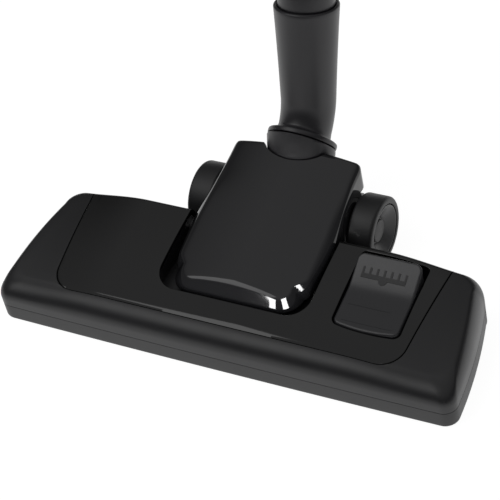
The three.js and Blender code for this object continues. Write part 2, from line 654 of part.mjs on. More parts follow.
// The hub is dished on both faces, with a sleeve on the axle and a low ring round the cap.
function hub(side) {
  const disc = (r, a, b) => wheelDisc(side, r, a, b);
  const dish = WHEEL_OUTER_X - 4;
  return disc(TREAD_R - GAP, WHEEL_INNER_X + 0.4, WHEEL_OUTER_X - 0.5)
    .subtract(disc(TREAD_R - 2.2, dish, WHEEL_OUTER_X + 2))
    .subtract(disc(TREAD_R - 2.8, WHEEL_INNER_X - 1, WHEEL_INNER_X + 7))
    .add(disc(5.4, WHEEL_INNER_X + 0.4, WHEEL_INNER_X + 8))
    .add(disc(8.6, dish - 0.2, dish + 2.4).subtract(disc(7, dish, WHEEL_OUTER_X + 2)))
    .subtract(disc(AXLE_R + GAP, WHEEL_INNER_X - 2, WHEEL_OUTER_X + 2));
}

function axleCap(side) {
  return wheelDisc(side, 6.4, WHEEL_OUTER_X - 3.6, WHEEL_OUTER_X - 1.2, 24)
    .subtract(wheelDisc(side, AXLE_R + GAP, WHEEL_OUTER_X - 5, WHEEL_OUTER_X - 2.2, 24));
}

function spacer(side) {
  return wheelDisc(side, 5, HOOD_SIDE_X + GAP, WHEEL_INNER_X - GAP, 20)
    .subtract(wheelDisc(side, AXLE_R + GAP, 0, 99, 20));
}

// ---------------------------------------------------------------- tilting housing
const collarRing = (t, r) => {
  const p = swivelCentre.clone().addScaledVector(swivelAxis, t);
  return tiltedRing(p.y, p.z, SWIVEL_TILT, r, 32);
};
const socketFoot = { y: AXLE_Y + 16, z: AXLE_Z + 17, lean: 30 };

const footRing = (d, r) => tiltedRing(
  socketFoot.y + d * Math.sin(radians(socketFoot.lean)),
  socketFoot.z + d * Math.cos(radians(socketFoot.lean)),
  socketFoot.lean, r, 32,
);

// Rings on the line from the axle to the knee of the socket, d millimetres from the axle.
const rootLean = THREE.MathUtils.radToDeg(Math.atan2(socketFoot.y - AXLE_Y, socketFoot.z - AXLE_Z));
const rootRing = (d, r) => tiltedRing(
  AXLE_Y + d * Math.sin(radians(rootLean)),
  AXLE_Z + d * Math.cos(radians(rootLean)),
  rootLean, r, 32,
);
const ROOT_R = BARREL_R - 3; // outside of the socket where it stands on the barrel

// The short bent tube that stands on the barrel and carries the swivel.
function swivelSocket() {
  const outer = loft([rootRing(BARREL_R / 2, ROOT_R), footRing(0, FOOT_R), collarRing(-GAP, COLLAR_R)]);
  const under = loft([
    rootRing(BARREL_R / 2 - 1, ROOT_R - SOCKET_WALL),
    footRing(0, SOCKET_BORE),
    collarRing(-LIP, SOCKET_BORE + 2),
  ]);
  const pocket = rodSwivel(SOCKET_BORE + 2, -LIP - 4.5, -LIP);
  return outer
    .subtract(under)
    .subtract(pocket)
    .subtract(rodSwivel(SOCKET_BORE, -LIP - 1, 2))
    .subtract(rodX(BARREL_R + GAP, -60, 60, AXLE_Y, AXLE_Z, 40));
}

// The drum that turns round the axle, open to the flat duct in front and to the socket above.
function tiltBarrel() {
  const window = box(-DUCT_HALF + 4, DUCT_HALF - 4, AXLE_Y - 40, AXLE_Y, 5, 30);
  return rodX(BARREL_R, -BARREL_HALF, BARREL_HALF, AXLE_Y, AXLE_Z, 40)
    .subtract(rodX(BARREL_R - BARREL_WALL, -60, 60, AXLE_Y, AXLE_Z, 40))
    .subtract(window)
    .subtract(loft([rootRing(1, ROOT_R - SOCKET_WALL), rootRing(BARREL_R + 5, ROOT_R - SOCKET_WALL)]));
}

// The disc that closes an end of the drum, with a hub that runs on the axle.
function barrelEnd(side) {
  const r = BARREL_R - BARREL_WALL - GAP;
  return wheelDisc(side, r, BARREL_HALF - BARREL_WALL, BARREL_HALF, 40)
    .add(wheelDisc(side, BARREL_HUB_R, BARREL_HALF - 6, BARREL_HALF, 20))
    .subtract(wheelDisc(side, AXLE_R + GAP, 0, 60, 16));
}

// The hood's plan, anticlockwise, inset all round.
function hoodPlan(inset) {
  const front = AXLE_Y - HOOD_AHEAD + inset;
  const rear = AXLE_Y + HOOD_BEHIND - inset;
  const half = HOOD_SIDE_X + 0.9 - inset;
  const right = [];
  const r = 15 - inset * 0.5;
  const xf = half - 1.4;
  for (let i = 0; i <= 7; i++) {
    const t = (Math.PI / 2) * (i / 7);
    right.push([xf - r + r * Math.sin(t), front + r - r * Math.cos(t)]);
  }
  right.push([half, AXLE_Y - 38], [half - 0.9, AXLE_Y - 12], [half - 0.9, AXLE_Y + 10]);
  const rr = 7;
  for (let i = 1; i <= 4; i++) {
    const t = (Math.PI / 2) * (i / 4);
    right.push([half - 0.9 - rr + rr * Math.cos(t), rear - rr + rr * Math.sin(t)]);
  }
  return [...right, ...right.slice().reverse().map(([x, y]) => [-x, y])];
}

// Height of the hood: a long flat face, two shoulders that widen to the rear, a front face, a rear roll.
function hoodHeight(x, y) {
  const back = y - AXLE_Y;
  const face = AXLE_Z + HOOD_RISE + (back + HOOD_AHEAD - 8.5) * HOOD_SLOPE - (x * x) / 420;
  const faceHalf = HOOD_SIDE_X - 0.5 - 6.8 * smooth((back + 45) / 60);
  const shoulder = face + (faceHalf - Math.abs(x)) * 0.85;
  const front = AXLE_Z + 5.5 + (back + HOOD_AHEAD) * 1.2;
  const rear = face + (16 - back) * 1.5;
  return Math.min(face, shoulder, front, rear);
}

function hoodBody(inset, zLow) {
  const raise = (points, z) => points.map(([x, y]) => [x, y, z(x, y)]);
  const rings = [raise(hoodPlan(inset), () => zLow)];
  const midY = AXLE_Y - 30;
  for (const f of [0, 0.03, 0.08, 0.16, 0.3, 0.6]) {
    const shrunk = hoodPlan(inset).map(([x, y]) => [x * (1 - f), midY + (y - midY) * (1 - f)]);
    rings.push(raise(shrunk, (x, y) => hoodHeight(x, y) - inset));
  }
  const spine = foldRing(hoodPlan(inset), hoodPlan(inset).length - 1);
  rings.push(raise(spine.map(([x, y]) => [x, midY + (y - midY) * 0.15]), (x, y) => hoodHeight(x, y) - inset));
  return loft(rings, true);
}

function hood() {
  const outer = hoodBody(0, AXLE_Z - 9);
  const inner = hoodBody(HOOD_WALL, AXLE_Z - 12);
  // Ahead of the axle the side walls stop above the bay floor; round the axle they end in a round boss.
  const keep = box(-60, 60, -60, AXLE_Y + 60, AXLE_Z + 6, 90)
    .subtract(box(-60, 60, AXLE_Y, AXLE_Y + 60, 0, AXLE_Z + 15))
    .add(rodX(HOOD_BOSS_R, -60, 60, AXLE_Y, AXLE_Z, 40));
  return outer
    .subtract(inner)
    .intersect(keep)
    .subtract(loft([
      footRing(-12, FOOT_R + HOOD_CLEARANCE),
      footRing(0, FOOT_R + HOOD_CLEARANCE),
      collarRing(-GAP, COLLAR_R + HOOD_CLEARANCE),
      collarRing(20, COLLAR_R + HOOD_CLEARANCE),
    ]))
    .subtract(rodX(AXLE_R + GAP, -60, 60, AXLE_Y, AXLE_Z, 16));
}

// ---------------------------------------------------------------- neck
// Points along the neck's centre line: [y, z, lean, share of the way to the rim].
function neckStations(straightSteps) {
  const lead = 3;
  const s0 = swivelCentre.clone().addScaledVector(swivelAxis, lead);
  const stations = [];
  const arcSteps = 8;
  const arcLength = NECK_BEND_R * radians(NECK_BEND);
  const total = arcLength + NECK_STRAIGHT;
  for (let i = 0; i <= arcSteps; i++) {
    const lean = SWIVEL_TILT - (NECK_BEND * i) / arcSteps;
    const y = s0.y + NECK_BEND_R * (Math.cos(radians(lean)) - Math.cos(radians(SWIVEL_TILT)));
    const z = s0.z + NECK_BEND_R * (Math.sin(radians(SWIVEL_TILT)) - Math.sin(radians(lean)));
    stations.push([y, z, lean, (arcLength * i) / arcSteps / total]);
  }
  const [y, z, lean] = stations[arcSteps];
  for (let i = 1; i <= straightSteps; i++) {
    const d = (NECK_STRAIGHT * i) / straightSteps;
    stations.push([y + d * Math.sin(radians(lean)), z + d * Math.cos(radians(lean)), lean, (arcLength + d) / total]);
  }
  return stations;
}

const neckR = (share) => NECK_ROOT_R + (NECK_RIM_R - NECK_ROOT_R) * share ** 1.5;
const wandR = (d) => WAND_R + (WAND_TAPER * Math.min(d, 0)) / SOCKET_DEPTH;
const rimStation = neckStations(4).at(-1);
const along = (d) => [
  rimStation[0] + d * Math.sin(radians(rimStation[2])),
  rimStation[1] + d * Math.cos(radians(rimStation[2])),
];

function neckElbow() {
  const stations = neckStations(4);
  const ring = ([y, z, lean, share], less) => tiltedRing(y, z, lean, neckR(share) - less, 32);
  const outer = loft([collarRing(GAP, NECK_ROOT_R), ...stations.map((s) => ring(s, 0))]);
  const flange = rodSwivel(COLLAR_R, GAP, FLANGE)
    .add(rodSwivel(NECK_ROOT_R + 1.5, FLANGE - 0.4, FLANGE + 1.2));
  const spigot = rodSwivel(SPIGOT_R, -LIP - 3.6, 1);
  const [ty, tz] = along(3);
  const inner = loft([
    collarRing(-LIP - 5, SPIGOT_R - 1.5),
    collarRing(1, SPIGOT_R - 1.4),
    ...stations.slice(1, -1).map((s) => ring(s, NECK_WALL)),
    tiltedRing(ty, tz, rimStation[2], neckR(0.9) - NECK_WALL, 32),
  ]);
  const [sy, sz] = along(-SOCKET_DEPTH);
  const socket = loft([
    tiltedRing(sy, sz, rimStation[2], wandR(-SOCKET_DEPTH) + GAP, 32),
    tiltedRing(ty, tz, rimStation[2], wandR(3) + GAP, 32),
  ]);
  return outer.add(flange).add(spigot).subtract(inner).subtract(socket);
}

// The ring that is pressed on the spigot under the socket's lip and keeps the neck from lifting off.
function retainingRing() {
  return rodSwivel(SOCKET_BORE + 1.4, -LIP - 3.2, -LIP - GAP).subtract(rodSwivel(SPIGOT_R + GAP, -LIP - 6, 2));
}

function sleeve() {
  const lean = rimStation[2];
  const rings = (distances, less) => distances.map((d) => {
    const [y, z] = along(d);
    return tiltedRing(y, z, lean, wandR(d) - less, 32);
  });
  const outer = loft(rings([-SOCKET_DEPTH + 0.5, 0, SLEEVE_SHOWN], 0));
  return outer.subtract(loft(rings([-SOCKET_DEPTH - 2, 0, SLEEVE_SHOWN + 3], SLEEVE_WALL)));
}

// ---------------------------------------------------------------- finishes and assembly
const finish = (color, roughness, metalness = 0) =>
  new THREE.MeshStandardMaterial({ color, roughness, metalness });
const satinCharcoal = finish(0x2b2b2e, 0.5);
const glossBlack = finish(0x0b0b0c, 0.06);
const darkPlastic = finish(0x1b1b1d, 0.6);
const softBlack = finish(0x161617, 0.85);
const steel = finish(0xb8babd, 0.3, 1);
const bristle = finish(0x2a2a2c, 0.9);
const lint = finish(0x8c1f22, 0.95);

const head = new THREE.Group();
function place(name, manifold, material) {
  const mesh = new THREE.Mesh(geometryOf(manifold), material);
  mesh.name = name;
  head.add(mesh);
}

place("base_shell", baseShell(), satinCharcoal);
place("top_shell", topShell(), satinCharcoal);
place("trim_panel", trimPanel(), glossBlack);
place("sole_plate", solePlate(), steel);
place("lint_strip_left", lintBox(-1, 0, 0.1, 1.2), lint);
place("lint_strip_right", lintBox(1, 0, 0.1, 1.2), lint);
place("air_duct", airDuct(), darkPlastic);
place("duct_seal", ductSeal(), softBlack);
screwSpots.forEach(([x, y], i) => place(`base_screw_${i + 1}`, screw(x, y), steel));

place("pedal", pedal(), satinCharcoal);
place("pedal_pin", rodX(PIN_R, wellX0 - 1.2, wellX1 + 1.2, PEDAL_CREASE, pinZ, 12), steel);
place("brush_carrier", brushCarrier(), darkPlastic);
const springY = (frontStripY + rearStripY) / 2 + 2.3;
place("bristle_strip_front", bristleStrip(-stripEnd, stripEnd, frontStripY), bristle);
place("bristle_strip_rear_left", bristleStrip(-stripEnd, -rearStripInner, rearStripY), bristle);
place("bristle_strip_rear_right", bristleStrip(rearStripInner, stripEnd, rearStripY), bristle);
for (const [side, hand] of [[-1, "left"], [1, "right"]]) {
  const springX = side * (CARRIER_HALF - 2.5);
  const spring = coilSpring(springX, springY, BASE_FLOOR + 0.4, CARRIER_LOW - GAP, 2.1, 0.45, 3);
  place(`carrier_spring_${hand}`, spring, steel);
}

place("axle", rodX(AXLE_R, -WHEEL_OUTER_X + 2.6, WHEEL_OUTER_X - 2.6, AXLE_Y, AXLE_Z, 16), steel);
for (const [side, hand] of [[-1, "left"], [1, "right"]]) {
  place(`tyre_${hand}`, tyre(side), softBlack);
  place(`wheel_hub_${hand}`, hub(side), satinCharcoal);
  place(`axle_cap_${hand}`, axleCap(side), darkPlastic);
  place(`wheel_spacer_${hand}`, spacer(side), darkPlastic);
}

place("tilt_barrel", tiltBarrel(), darkPlastic);
place("barrel_end_left", barrelEnd(-1), darkPlastic);
place("barrel_end_right", barrelEnd(1), darkPlastic);
place("swivel_socket", swivelSocket(), satinCharcoal);
place("hood", hood(), glossBlack);
place("neck_elbow", neckElbow(), satinCharcoal);
place("retaining_ring", retainingRing(), darkPlastic);
place("wand_sleeve", sleeve(), darkPlastic);

export default head;
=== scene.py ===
# %% [markdown]
# # A vacuum cleaner's floor head
#
# The real object is a wide nozzle of black plastic that stands on its sole and two wheels. A satin shell
# carries a polished trim panel, a foot pedal, and a polished hood over the barrel that the neck stands on.
# The CAD model gives every place and every joint. This script gives each visible part its fine surface
# and its finish. Sizes are in millimetres here and become metres where a mesh is made.

import bmesh
import bpy
import numpy as np
from mathutils import Matrix, Vector


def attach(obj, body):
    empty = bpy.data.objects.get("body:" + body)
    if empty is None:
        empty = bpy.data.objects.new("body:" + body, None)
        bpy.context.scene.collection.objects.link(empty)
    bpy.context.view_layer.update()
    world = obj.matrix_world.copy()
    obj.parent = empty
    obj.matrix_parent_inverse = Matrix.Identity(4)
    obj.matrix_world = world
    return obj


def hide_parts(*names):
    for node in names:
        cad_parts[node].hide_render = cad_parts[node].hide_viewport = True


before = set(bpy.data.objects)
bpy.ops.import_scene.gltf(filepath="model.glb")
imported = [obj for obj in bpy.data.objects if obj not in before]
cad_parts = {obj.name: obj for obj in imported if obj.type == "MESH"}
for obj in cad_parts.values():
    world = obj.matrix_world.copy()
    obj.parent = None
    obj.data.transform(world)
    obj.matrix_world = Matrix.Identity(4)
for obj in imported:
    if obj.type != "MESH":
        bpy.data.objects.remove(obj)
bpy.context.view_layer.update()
MM = 0.001

# %% [markdown]
# ## The camera
#
# A camera can be placed by hand, or by a few angles: how far round the object it stands, how high it looks
# down from, how much it is tipped sideways, and how far away it is. The angles are easier to read and to
# change, so the camera's matrix is worked out from them. Distances here are in metres.

# %% Camera
AZIMUTH, ELEVATION, TIP = np.radians([35.285, 43.476, -13.399])
DISTANCE = 1.09604
AIM = np.array([-0.00326, 0.02129, 0.03254])
LENS, SENSOR = 141.96, 36.0


def camera_axes(azimuth, elevation, tip):
    """Right, up and back directions: back points from the aim to the camera, and right and up turn about it
    by tip."""
    back = np.array([
        np.sin(azimuth) * np.cos(elevation),
        -np.cos(azimuth) * np.cos(elevation),
        np.sin(elevation),
    ])
    right = np.cross([0.0, 0.0, 1.0], back)
    right /= np.linalg.norm(right)
    up = np.cross(back, right)
    return (
        np.cos(tip) * right + np.sin(tip) * up,
        np.cos(tip) * up - np.sin(tip) * right,
        back,
    )


def place_camera():
    """Puts the camera DISTANCE from AIM, along the back direction."""
    right, up, back = camera_axes(AZIMUTH, ELEVATION, TIP)
    matrix = np.eye(4)
    matrix[:3, 0], matrix[:3, 1], matrix[:3, 2] = right, up, back
    matrix[:3, 3] = AIM + DISTANCE * back
    data = bpy.data.cameras.new("studio_camera")
    data.lens, data.sensor_width = LENS, SENSOR
    camera = bpy.data.objects.new("studio_camera", data)
    bpy.context.collection.objects.link(camera)
    camera.matrix_world = Matrix(matrix.tolist())
    bpy.context.scene.camera = camera
    return camera


camera = place_camera()
print("camera at", tuple(round(v, 4) for v in camera.matrix_world.translation))

# %% [markdown]
# ## Skins from rings
#
# Most moulded parts can be described as a stack of closed rings, each ring with the same number of points.
# A fixed count lets one array hold the whole skin, and quads between rings come from index arithmetic.
# The ends are closed by a face, or by joining the last ring to the first, as in a tube with a bore.

# %% Ring helpers
def object_from(name, points, faces):
    """A closed mesh object from points in millimetres and faces, merged at its seams, facing out."""
    mesh = bpy.data.meshes.new(name)
    mesh.from_pydata((np.asarray(points) * MM).tolist(), [], faces)
    made = bmesh.new()
    made.from_mesh(mesh)
    bmesh.ops.remove_doubles(made, verts=made.verts, dist=2e-7)
    bmesh.ops.dissolve_degenerate(made, edges=made.edges, dist=2e-7)
    bmesh.ops.recalc_face_normals(made, faces=made.faces)
    made.to_mesh(mesh)
    made.free()
    piece = bpy.data.objects.new(name, mesh)
    bpy.context.collection.objects.link(piece)
    return piece


def skin(name, rings, closed=False, capped=(True, True)):
    """A skin through an array of rings (ring, point, xyz): quad (i, j) joins rings i and i+1 at points j
    and j+1. A closed skin also joins the last ring to the first; otherwise each end may get a cap."""
    rings = np.asarray(rings, float)
    count, size = rings.shape[:2]
    index = np.arange(count * size).reshape(count, size)
    low = index if closed else index[:-1]
    high = np.roll(index, -1, axis=0) if closed else index[1:]
    quads = np.stack([low, np.roll(low, -1, 1), np.roll(high, -1, 1), high], -1).reshape(-1, 4)
    faces = quads.tolist()
    if not closed and capped[0]:
        faces.append(index[0, ::-1].tolist())
    if not closed and capped[1]:
        faces.append(index[-1].tolist())
    return object_from(name, rings.reshape(-1, 3), faces)


def lift(outline, height):
    """A plan outline raised to a height, which may be one number or one for each point."""
    return np.column_stack([outline, np.broadcast_to(height, len(outline))])


def prism(name, outline, low, high):
    """A plan outline raised from low to high."""
    return skin(name, [lift(outline, low), lift(outline, high)])


def block(name, low, high):
    """A box between two corners."""
    (x0, y0, z0), (x1, y1, z1) = low, high
    return prism(name, np.array([[x0, y0], [x1, y0], [x1, y1], [x0, y1]]), z0, z1)


def circle(x, y, radius, steps=40):
    """A circle in plan."""
    angle = np.linspace(0, 2 * np.pi, steps, endpoint=False)
    return np.column_stack([x + radius * np.cos(angle), y + radius * np.sin(angle)])


def side_prism(name, outline, x0, x1):
    """An outline in the YZ plane carried along X."""
    outline = np.asarray(outline, float)
    return skin(name, [np.column_stack([np.full(len(outline), x), outline]) for x in (x0, x1)])


def turned_rings(profile, y, z, steps=96):
    """Rings of a profile of (radius, distance) turned about the line along X through y and z: the point at
    angle a is (distance, y - radius cos a, z + radius sin a)."""
    angle = np.linspace(0, 2 * np.pi, steps, endpoint=False)
    profile = np.asarray(profile, float)
    radius, along = profile[:, :1], profile[:, 1:] + 0 * angle
    return np.stack([along, y - radius * np.cos(angle), z + radius * np.sin(angle)], -1)

# %% [markdown]
# ## Cutting and joining solids
#
# Holes, pockets and bosses could be modelled into each skin, face by face. Cutting one solid with another
# is far shorter, and gives clean closed walls as long as both solids are closed. The boolean modifier does
# this, and its result is stored at once, so the piece holds a plain mesh and the tool can be thrown away.

# %% Cutting and joining solids
def combine(piece, tool, how="DIFFERENCE"):
    """Cuts tool out of piece, joins it or keeps what they share, and removes the tool."""
    step = piece.modifiers.new("step", "BOOLEAN")
    step.operation, step.object, step.solver = how, tool, "MANIFOLD"
    graph = bpy.context.evaluated_depsgraph_get()
    mesh = bpy.data.meshes.new_from_object(piece.evaluated_get(graph))
    piece.modifiers.clear()
    piece.data = mesh
    bpy.data.objects.remove(tool)
    return piece


def cut(piece, *tools):
    """Cuts each tool out of the piece."""
    for tool in tools:
        combine(piece, tool)
    return piece


def join(piece, *tools):
    """Joins each tool to the piece."""
    for tool in tools:
        combine(piece, tool, "UNION")
    return piece

# %% [markdown]
# ## Soft steps and soft edges
#
# Moulded surfaces change slope gently. Two small functions give that: one eases a value from 0 to 1, and
# one takes the lowest of several heights but rounds the place where two of them meet.

# %% Soft steps and soft edges
def smooth(t):
    """Eases from 0 to 1: t squared times (3 - 2t), with t held between 0 and 1."""
    t = np.clip(t, 0, 1)
    return t * t * (3 - 2 * t)


def soft_min(values, rounding):
    """The lowest of several heights, with the edges between them rounded: minus rounding times the
    logarithm of the sum of exp(-height / rounding)."""
    values = np.stack(np.broadcast_arrays(*values))
    lowest = values.min(0)
    return lowest - rounding * np.log(np.exp(-(values - lowest) / rounding).sum(0))


print("two equal heights, rounded by 1 mm, give", round(float(soft_min([5.0, 5.0], 1.0)), 2), "for 5")

# %% [markdown]
# ## Finishes
#
# The head has few plastics, and they differ mostly in how they take light: polished black, satin charcoal
# with a fine moulded grain, plain matte black, and a soft tread. Grain is made with a fine noise that
# drives both a small bump and a small change of roughness, so highlights break up as on real mouldings.
# Numbers that are the same all over are set on the shader itself.

# %% Material helpers
def plastic(name, colour, roughness, grain=0.0, grain_size=0.35, spread=0.04, mottle=0.0):
    """A moulded plastic. grain is the bump's height in millimetres, and grain_size the size of one cell.
    Roughness varies by spread with a slow noise, and mottle varies the colour in the same way."""
    material = bpy.data.materials.new(name)
    material.use_nodes = True
    nodes, links = material.node_tree.nodes, material.node_tree.links
    shader = nodes["Principled BSDF"]
    shader.inputs["Base Color"].default_value = (*colour, 1)
    place = nodes.new("ShaderNodeTexCoord")
    slow = nodes.new("ShaderNodeTexNoise")
    slow.inputs["Scale"].default_value = 60
    slow.inputs["Detail"].default_value = 4
    links.new(place.outputs["Object"], slow.inputs["Vector"])
    ramp = nodes.new("ShaderNodeMapRange")
    ramp.inputs["To Min"].default_value = roughness - spread
    ramp.inputs["To Max"].default_value = roughness + spread
    links.new(slow.outputs["Fac"], ramp.inputs["Value"])
    links.new(ramp.outputs["Result"], shader.inputs["Roughness"])
    if mottle:
        tint = nodes.new("ShaderNodeMix")
        tint.data_type = "RGBA"
        tint.inputs["A"].default_value = (*[c * (1 - mottle) for c in colour], 1)
        tint.inputs["B"].default_value = (*[c * (1 + mottle) for c in colour], 1)
        links.new(slow.outputs["Fac"], tint.inputs["Factor"])
        links.new(tint.outputs["Result"], shader.inputs["Base Color"])
    if grain:
        fine = nodes.new("ShaderNodeTexNoise")
        fine.inputs["Scale"].default_value = 1 / (grain_size * MM)
        fine.inputs["Detail"].default_value = 2
        bump = nodes.new("ShaderNodeBump")
        bump.inputs["Distance"].default_value = grain * MM
        bump.inputs["Strength"].default_value = 1
        links.new(place.outputs["Object"], fine.inputs["Vector"])
        links.new(fine.outputs["Fac"], bump.inputs["Height"])
        links.new(bump.outputs["Normal"], shader.inputs["Normal"])
    return material

# %% [markdown]
# ## Metal and velour
#
# The sole is brushed steel, the small fittings are zinc-plated, and the strips that pick up lint are a
# short velour. Brush lines could be painted; a noise that is stretched along one axis gives them anywhere.

# %% Metal and velour
def brushed_metal(name, colour, roughness, along=(1, 1, 1)):
    """A metal with brush lines: a noise stretched by the factors in along, where a small factor makes long
    lines on that axis."""
    material = bpy.data.materials.new(name)
    material.use_nodes = True
    nodes, links = material.node_tree.nodes, material.node_tree.links
    shader = nodes["Principled BSDF"]
    shader.inputs["Base Color"].default_value = (*colour, 1)
    shader.inputs["Metallic"].default_value = 1
    place = nodes.new("ShaderNodeTexCoord")
    stretch = nodes.new("ShaderNodeMapping")
    stretch.inputs["Scale"].default_value = along
    lines = nodes.new("ShaderNodeTexNoise")
    lines.inputs["Scale"].default_value = 2500
    ramp = nodes.new("ShaderNodeMapRange")
    ramp.inputs["To Min"].default_value = roughness * 0.7
    ramp.inputs["To Max"].default_value = roughness * 1.4
    bump = nodes.new("ShaderNodeBump")
    bump.inputs["Distance"].default_value = 0.02 * MM
    links.new(place.outputs["Object"], stretch.inputs["Vector"])
    links.new(stretch.outputs["Vector"], lines.inputs["Vector"])
    links.new(lines.outputs["Fac"], ramp.inputs["Value"])
    links.new(lines.outputs["Fac"], bump.inputs["Height"])
    links.new(ramp.outputs["Result"], shader.inputs["Roughness"])
    links.new(bump.outputs["Normal"], shader.inputs["Normal"])
    return material


def velour(name, colour):
    """Short pile: a rough shader with sheen, and a strong fine bump for the pile's tips."""
    material = plastic(name, colour, 0.95, grain=0.35, grain_size=0.4, mottle=0.45)
    material.node_tree.nodes["Principled BSDF"].inputs["Sheen Weight"].default_value = 0.6
    return material

# %% [markdown]
# ## The finishes of this head
#
# Each finish is made once and shared by every piece that has it. The colours are darker than they look
# at first sight, because even black plastic shows a good deal of reflected light.

# %% The finishes of this head
SATIN = plastic("satin_charcoal", (0.0075, 0.0075, 0.0088), 0.4, grain=0.01, grain_size=0.3, mottle=0.06)
BASE = plastic("base_charcoal", (0.011, 0.011, 0.012), 0.48, grain=0.016, grain_size=0.35, mottle=0.08)
NECK = plastic("neck_charcoal", (0.0145, 0.0138, 0.0165), 0.38, grain=0.01, grain_size=0.3, mottle=0.06)
GLOSS = plastic("polished_black", (0.003, 0.003, 0.0033), 0.05, spread=0.012)
INNER = plastic("plain_black", (0.006, 0.006, 0.0068), 0.5, grain=0.02, mottle=0.1)
WHEEL = plastic("wheel_plastic", (0.016, 0.016, 0.0175), 0.4, grain=0.01, mottle=0.08)
TREAD = plastic("wheel_tread", (0.01, 0.01, 0.011), 0.5, grain=0.02, grain_size=0.5, mottle=0.12)
SEAL = plastic("seal_rubber", (0.008, 0.008, 0.008), 0.8, grain=0.03, mottle=0.1)
PEDAL = plastic("pedal_charcoal", (0.019, 0.019, 0.0215), 0.34, grain=0.008, grain_size=0.3, mottle=0.06)
MARK = plastic("pedal_mark", (0.004, 0.004, 0.005), 0.5, grain=0.01, mottle=0.05)
BRISTLE = plastic("nylon_bristle", (0.012, 0.012, 0.013), 0.4, spread=0.1, mottle=0.4)
LINT = velour("lint_velour", (0.22, 0.012, 0.018))
SOLE = brushed_metal("sole_steel", (0.55, 0.55, 0.56), 0.3, along=(0.02, 1, 1))
ZINC = brushed_metal("zinc_steel", (0.42, 0.42, 0.44), 0.35)
print(len(bpy.data.materials), "materials so far")

# %% [markdown]
# ## Settling a piece
#
# A finished piece needs its finish, smooth shading with sharp creases, and the body that it moves with.
# One function does all of it, so no piece can be left behind when a joint turns.

# %% Settling a piece
def settle(piece, body, slot, material, *nodes, crease=32):
    """Gives a finished piece its finish and its body, and hides the CAD nodes that it stands for."""
    piece.data.materials.clear()
    piece.data.materials.append(material)
    piece.data.shade_smooth()
    piece.data.set_sharp_from_angle(angle=np.radians(crease))
    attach(piece, body)
    if nodes:
        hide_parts(*nodes)
    print(piece.name, len(piece.data.polygons), "faces")
    return piece


def join_visible(piece, other):
    """Merges two visible pieces of the same material into the first."""
    combine(piece, other, "UNION")
    piece.data.set_sharp_from_angle(angle=np.radians(30))

# %% [markdown]
# ## The nozzle's form
#
# Seen from above the nozzle is a wide shape with rounded corners and ends that lean in towards the rear.
# Its top climbs from a soft front roll to a higher rear edge, and drops towards the two ends. One height
# function serves the shell, the panel, the bay and the pedal's well, so all of them share one surface.

# %% Nozzle functions
WIDTH, DEPTH = 280.0, 81.0
FRONT_Y, REAR_Y = -DEPTH / 2, DEPTH / 2
FRONT_BOW = 0.8
SEAM = 10.3
GAP = 0.35
WALL = 2.2
CORNER = 7.5
FRONT_ROLL, END_ROLL, REAR_ROLL = 13.0, 6.0, 6.0
CROWN_FRONT, CROWN_CLIMB, CROWN_BULGE = 27, 13, 1.5
END_DROP, DROP_START, DROP_RUN = 6.5, 75, 55
END_BULGE, END_LEAN, END_CURVE = 0.6, 0.05, 0.0016
FRONT_STEPS, CORNER_STEPS, END_STEPS = 70, 14, 34


def top_height(x, y):
    """Crown of the top: a straight climb plus a sine bulge, less a drop that eases in towards the ends."""
    rise = np.clip((y - FRONT_Y - 10) / (DEPTH - 11), 0, 1)
    crown = CROWN_FRONT + CROWN_CLIMB * rise + CROWN_BULGE * np.sin(np.pi * rise)
    return crown - END_DROP * smooth((np.abs(x) - DROP_START) / DROP_RUN) * (0.35 + 0.65 * rise)


def end_x(y, inset):
    """Half width at depth y: it shrinks by a slope and a square term behind the front corner."""
    t = np.maximum(y - FRONT_Y - 5, 0)
    return WIDTH / 2 + END_BULGE - END_LEAN * t - END_CURVE * t * t - inset


def plan_outline(front, end, rear, corner):
    """The plan, anticlockwise, inset at the front, ends and rear: a front line, a quarter circle, the end
    curve, a quarter circle and a rear line on the right, and the same mirrored on the left. The front line
    bows forward by a parabola."""
    y0, y1 = FRONT_Y + front, REAR_Y - rear
    x0, x1 = end_x(y0 + corner, end), end_x(y1 - corner, end)
    turn = np.linspace(0, np.pi / 2, CORNER_STEPS)
    run = np.linspace(0, 1, FRONT_STEPS, endpoint=False)
    side = np.linspace(y0 + corner, y1 - corner, END_STEPS)[1:-1]
    right = np.vstack([
        np.column_stack([(x0 - corner) * run, np.full(FRONT_STEPS, y0)]),
        np.column_stack([x0 - corner + corner * np.sin(turn), y0 + corner - corner * np.cos(turn)]),
        np.column_stack([end_x(side, end), side]),
        np.column_stack([x1 - corner + corner * np.cos(turn), y1 - corner + corner * np.sin(turn)]),
        np.column_stack([(x1 - corner) * run[::-1], np.full(FRONT_STEPS, y1)]),
    ])
    left = right[1:-1][::-1] * [-1, 1]
    outline = np.vstack([right, left])
    share = np.clip(1 - (outline[:, 1] - FRONT_Y) * 2 / DEPTH, 0, 1)
    outline[:, 1] -= FRONT_BOW * share * (1 - (2 * outline[:, 0] / WIDTH) ** 2)
    return outline


print("crown at the front:", round(float(top_height(0, FRONT_Y + 10)), 1), "mm")
print("crown at the rear:", round(float(top_height(0, REAR_Y)), 1), "mm")

# %% [markdown]
# ## The body under the top
#
# The shell is like a pillow: walls that roll over into a broad, low crown. It could be a subdivided cube,
# but rings that follow the plan and move inward along a quarter circle give the same roll everywhere.

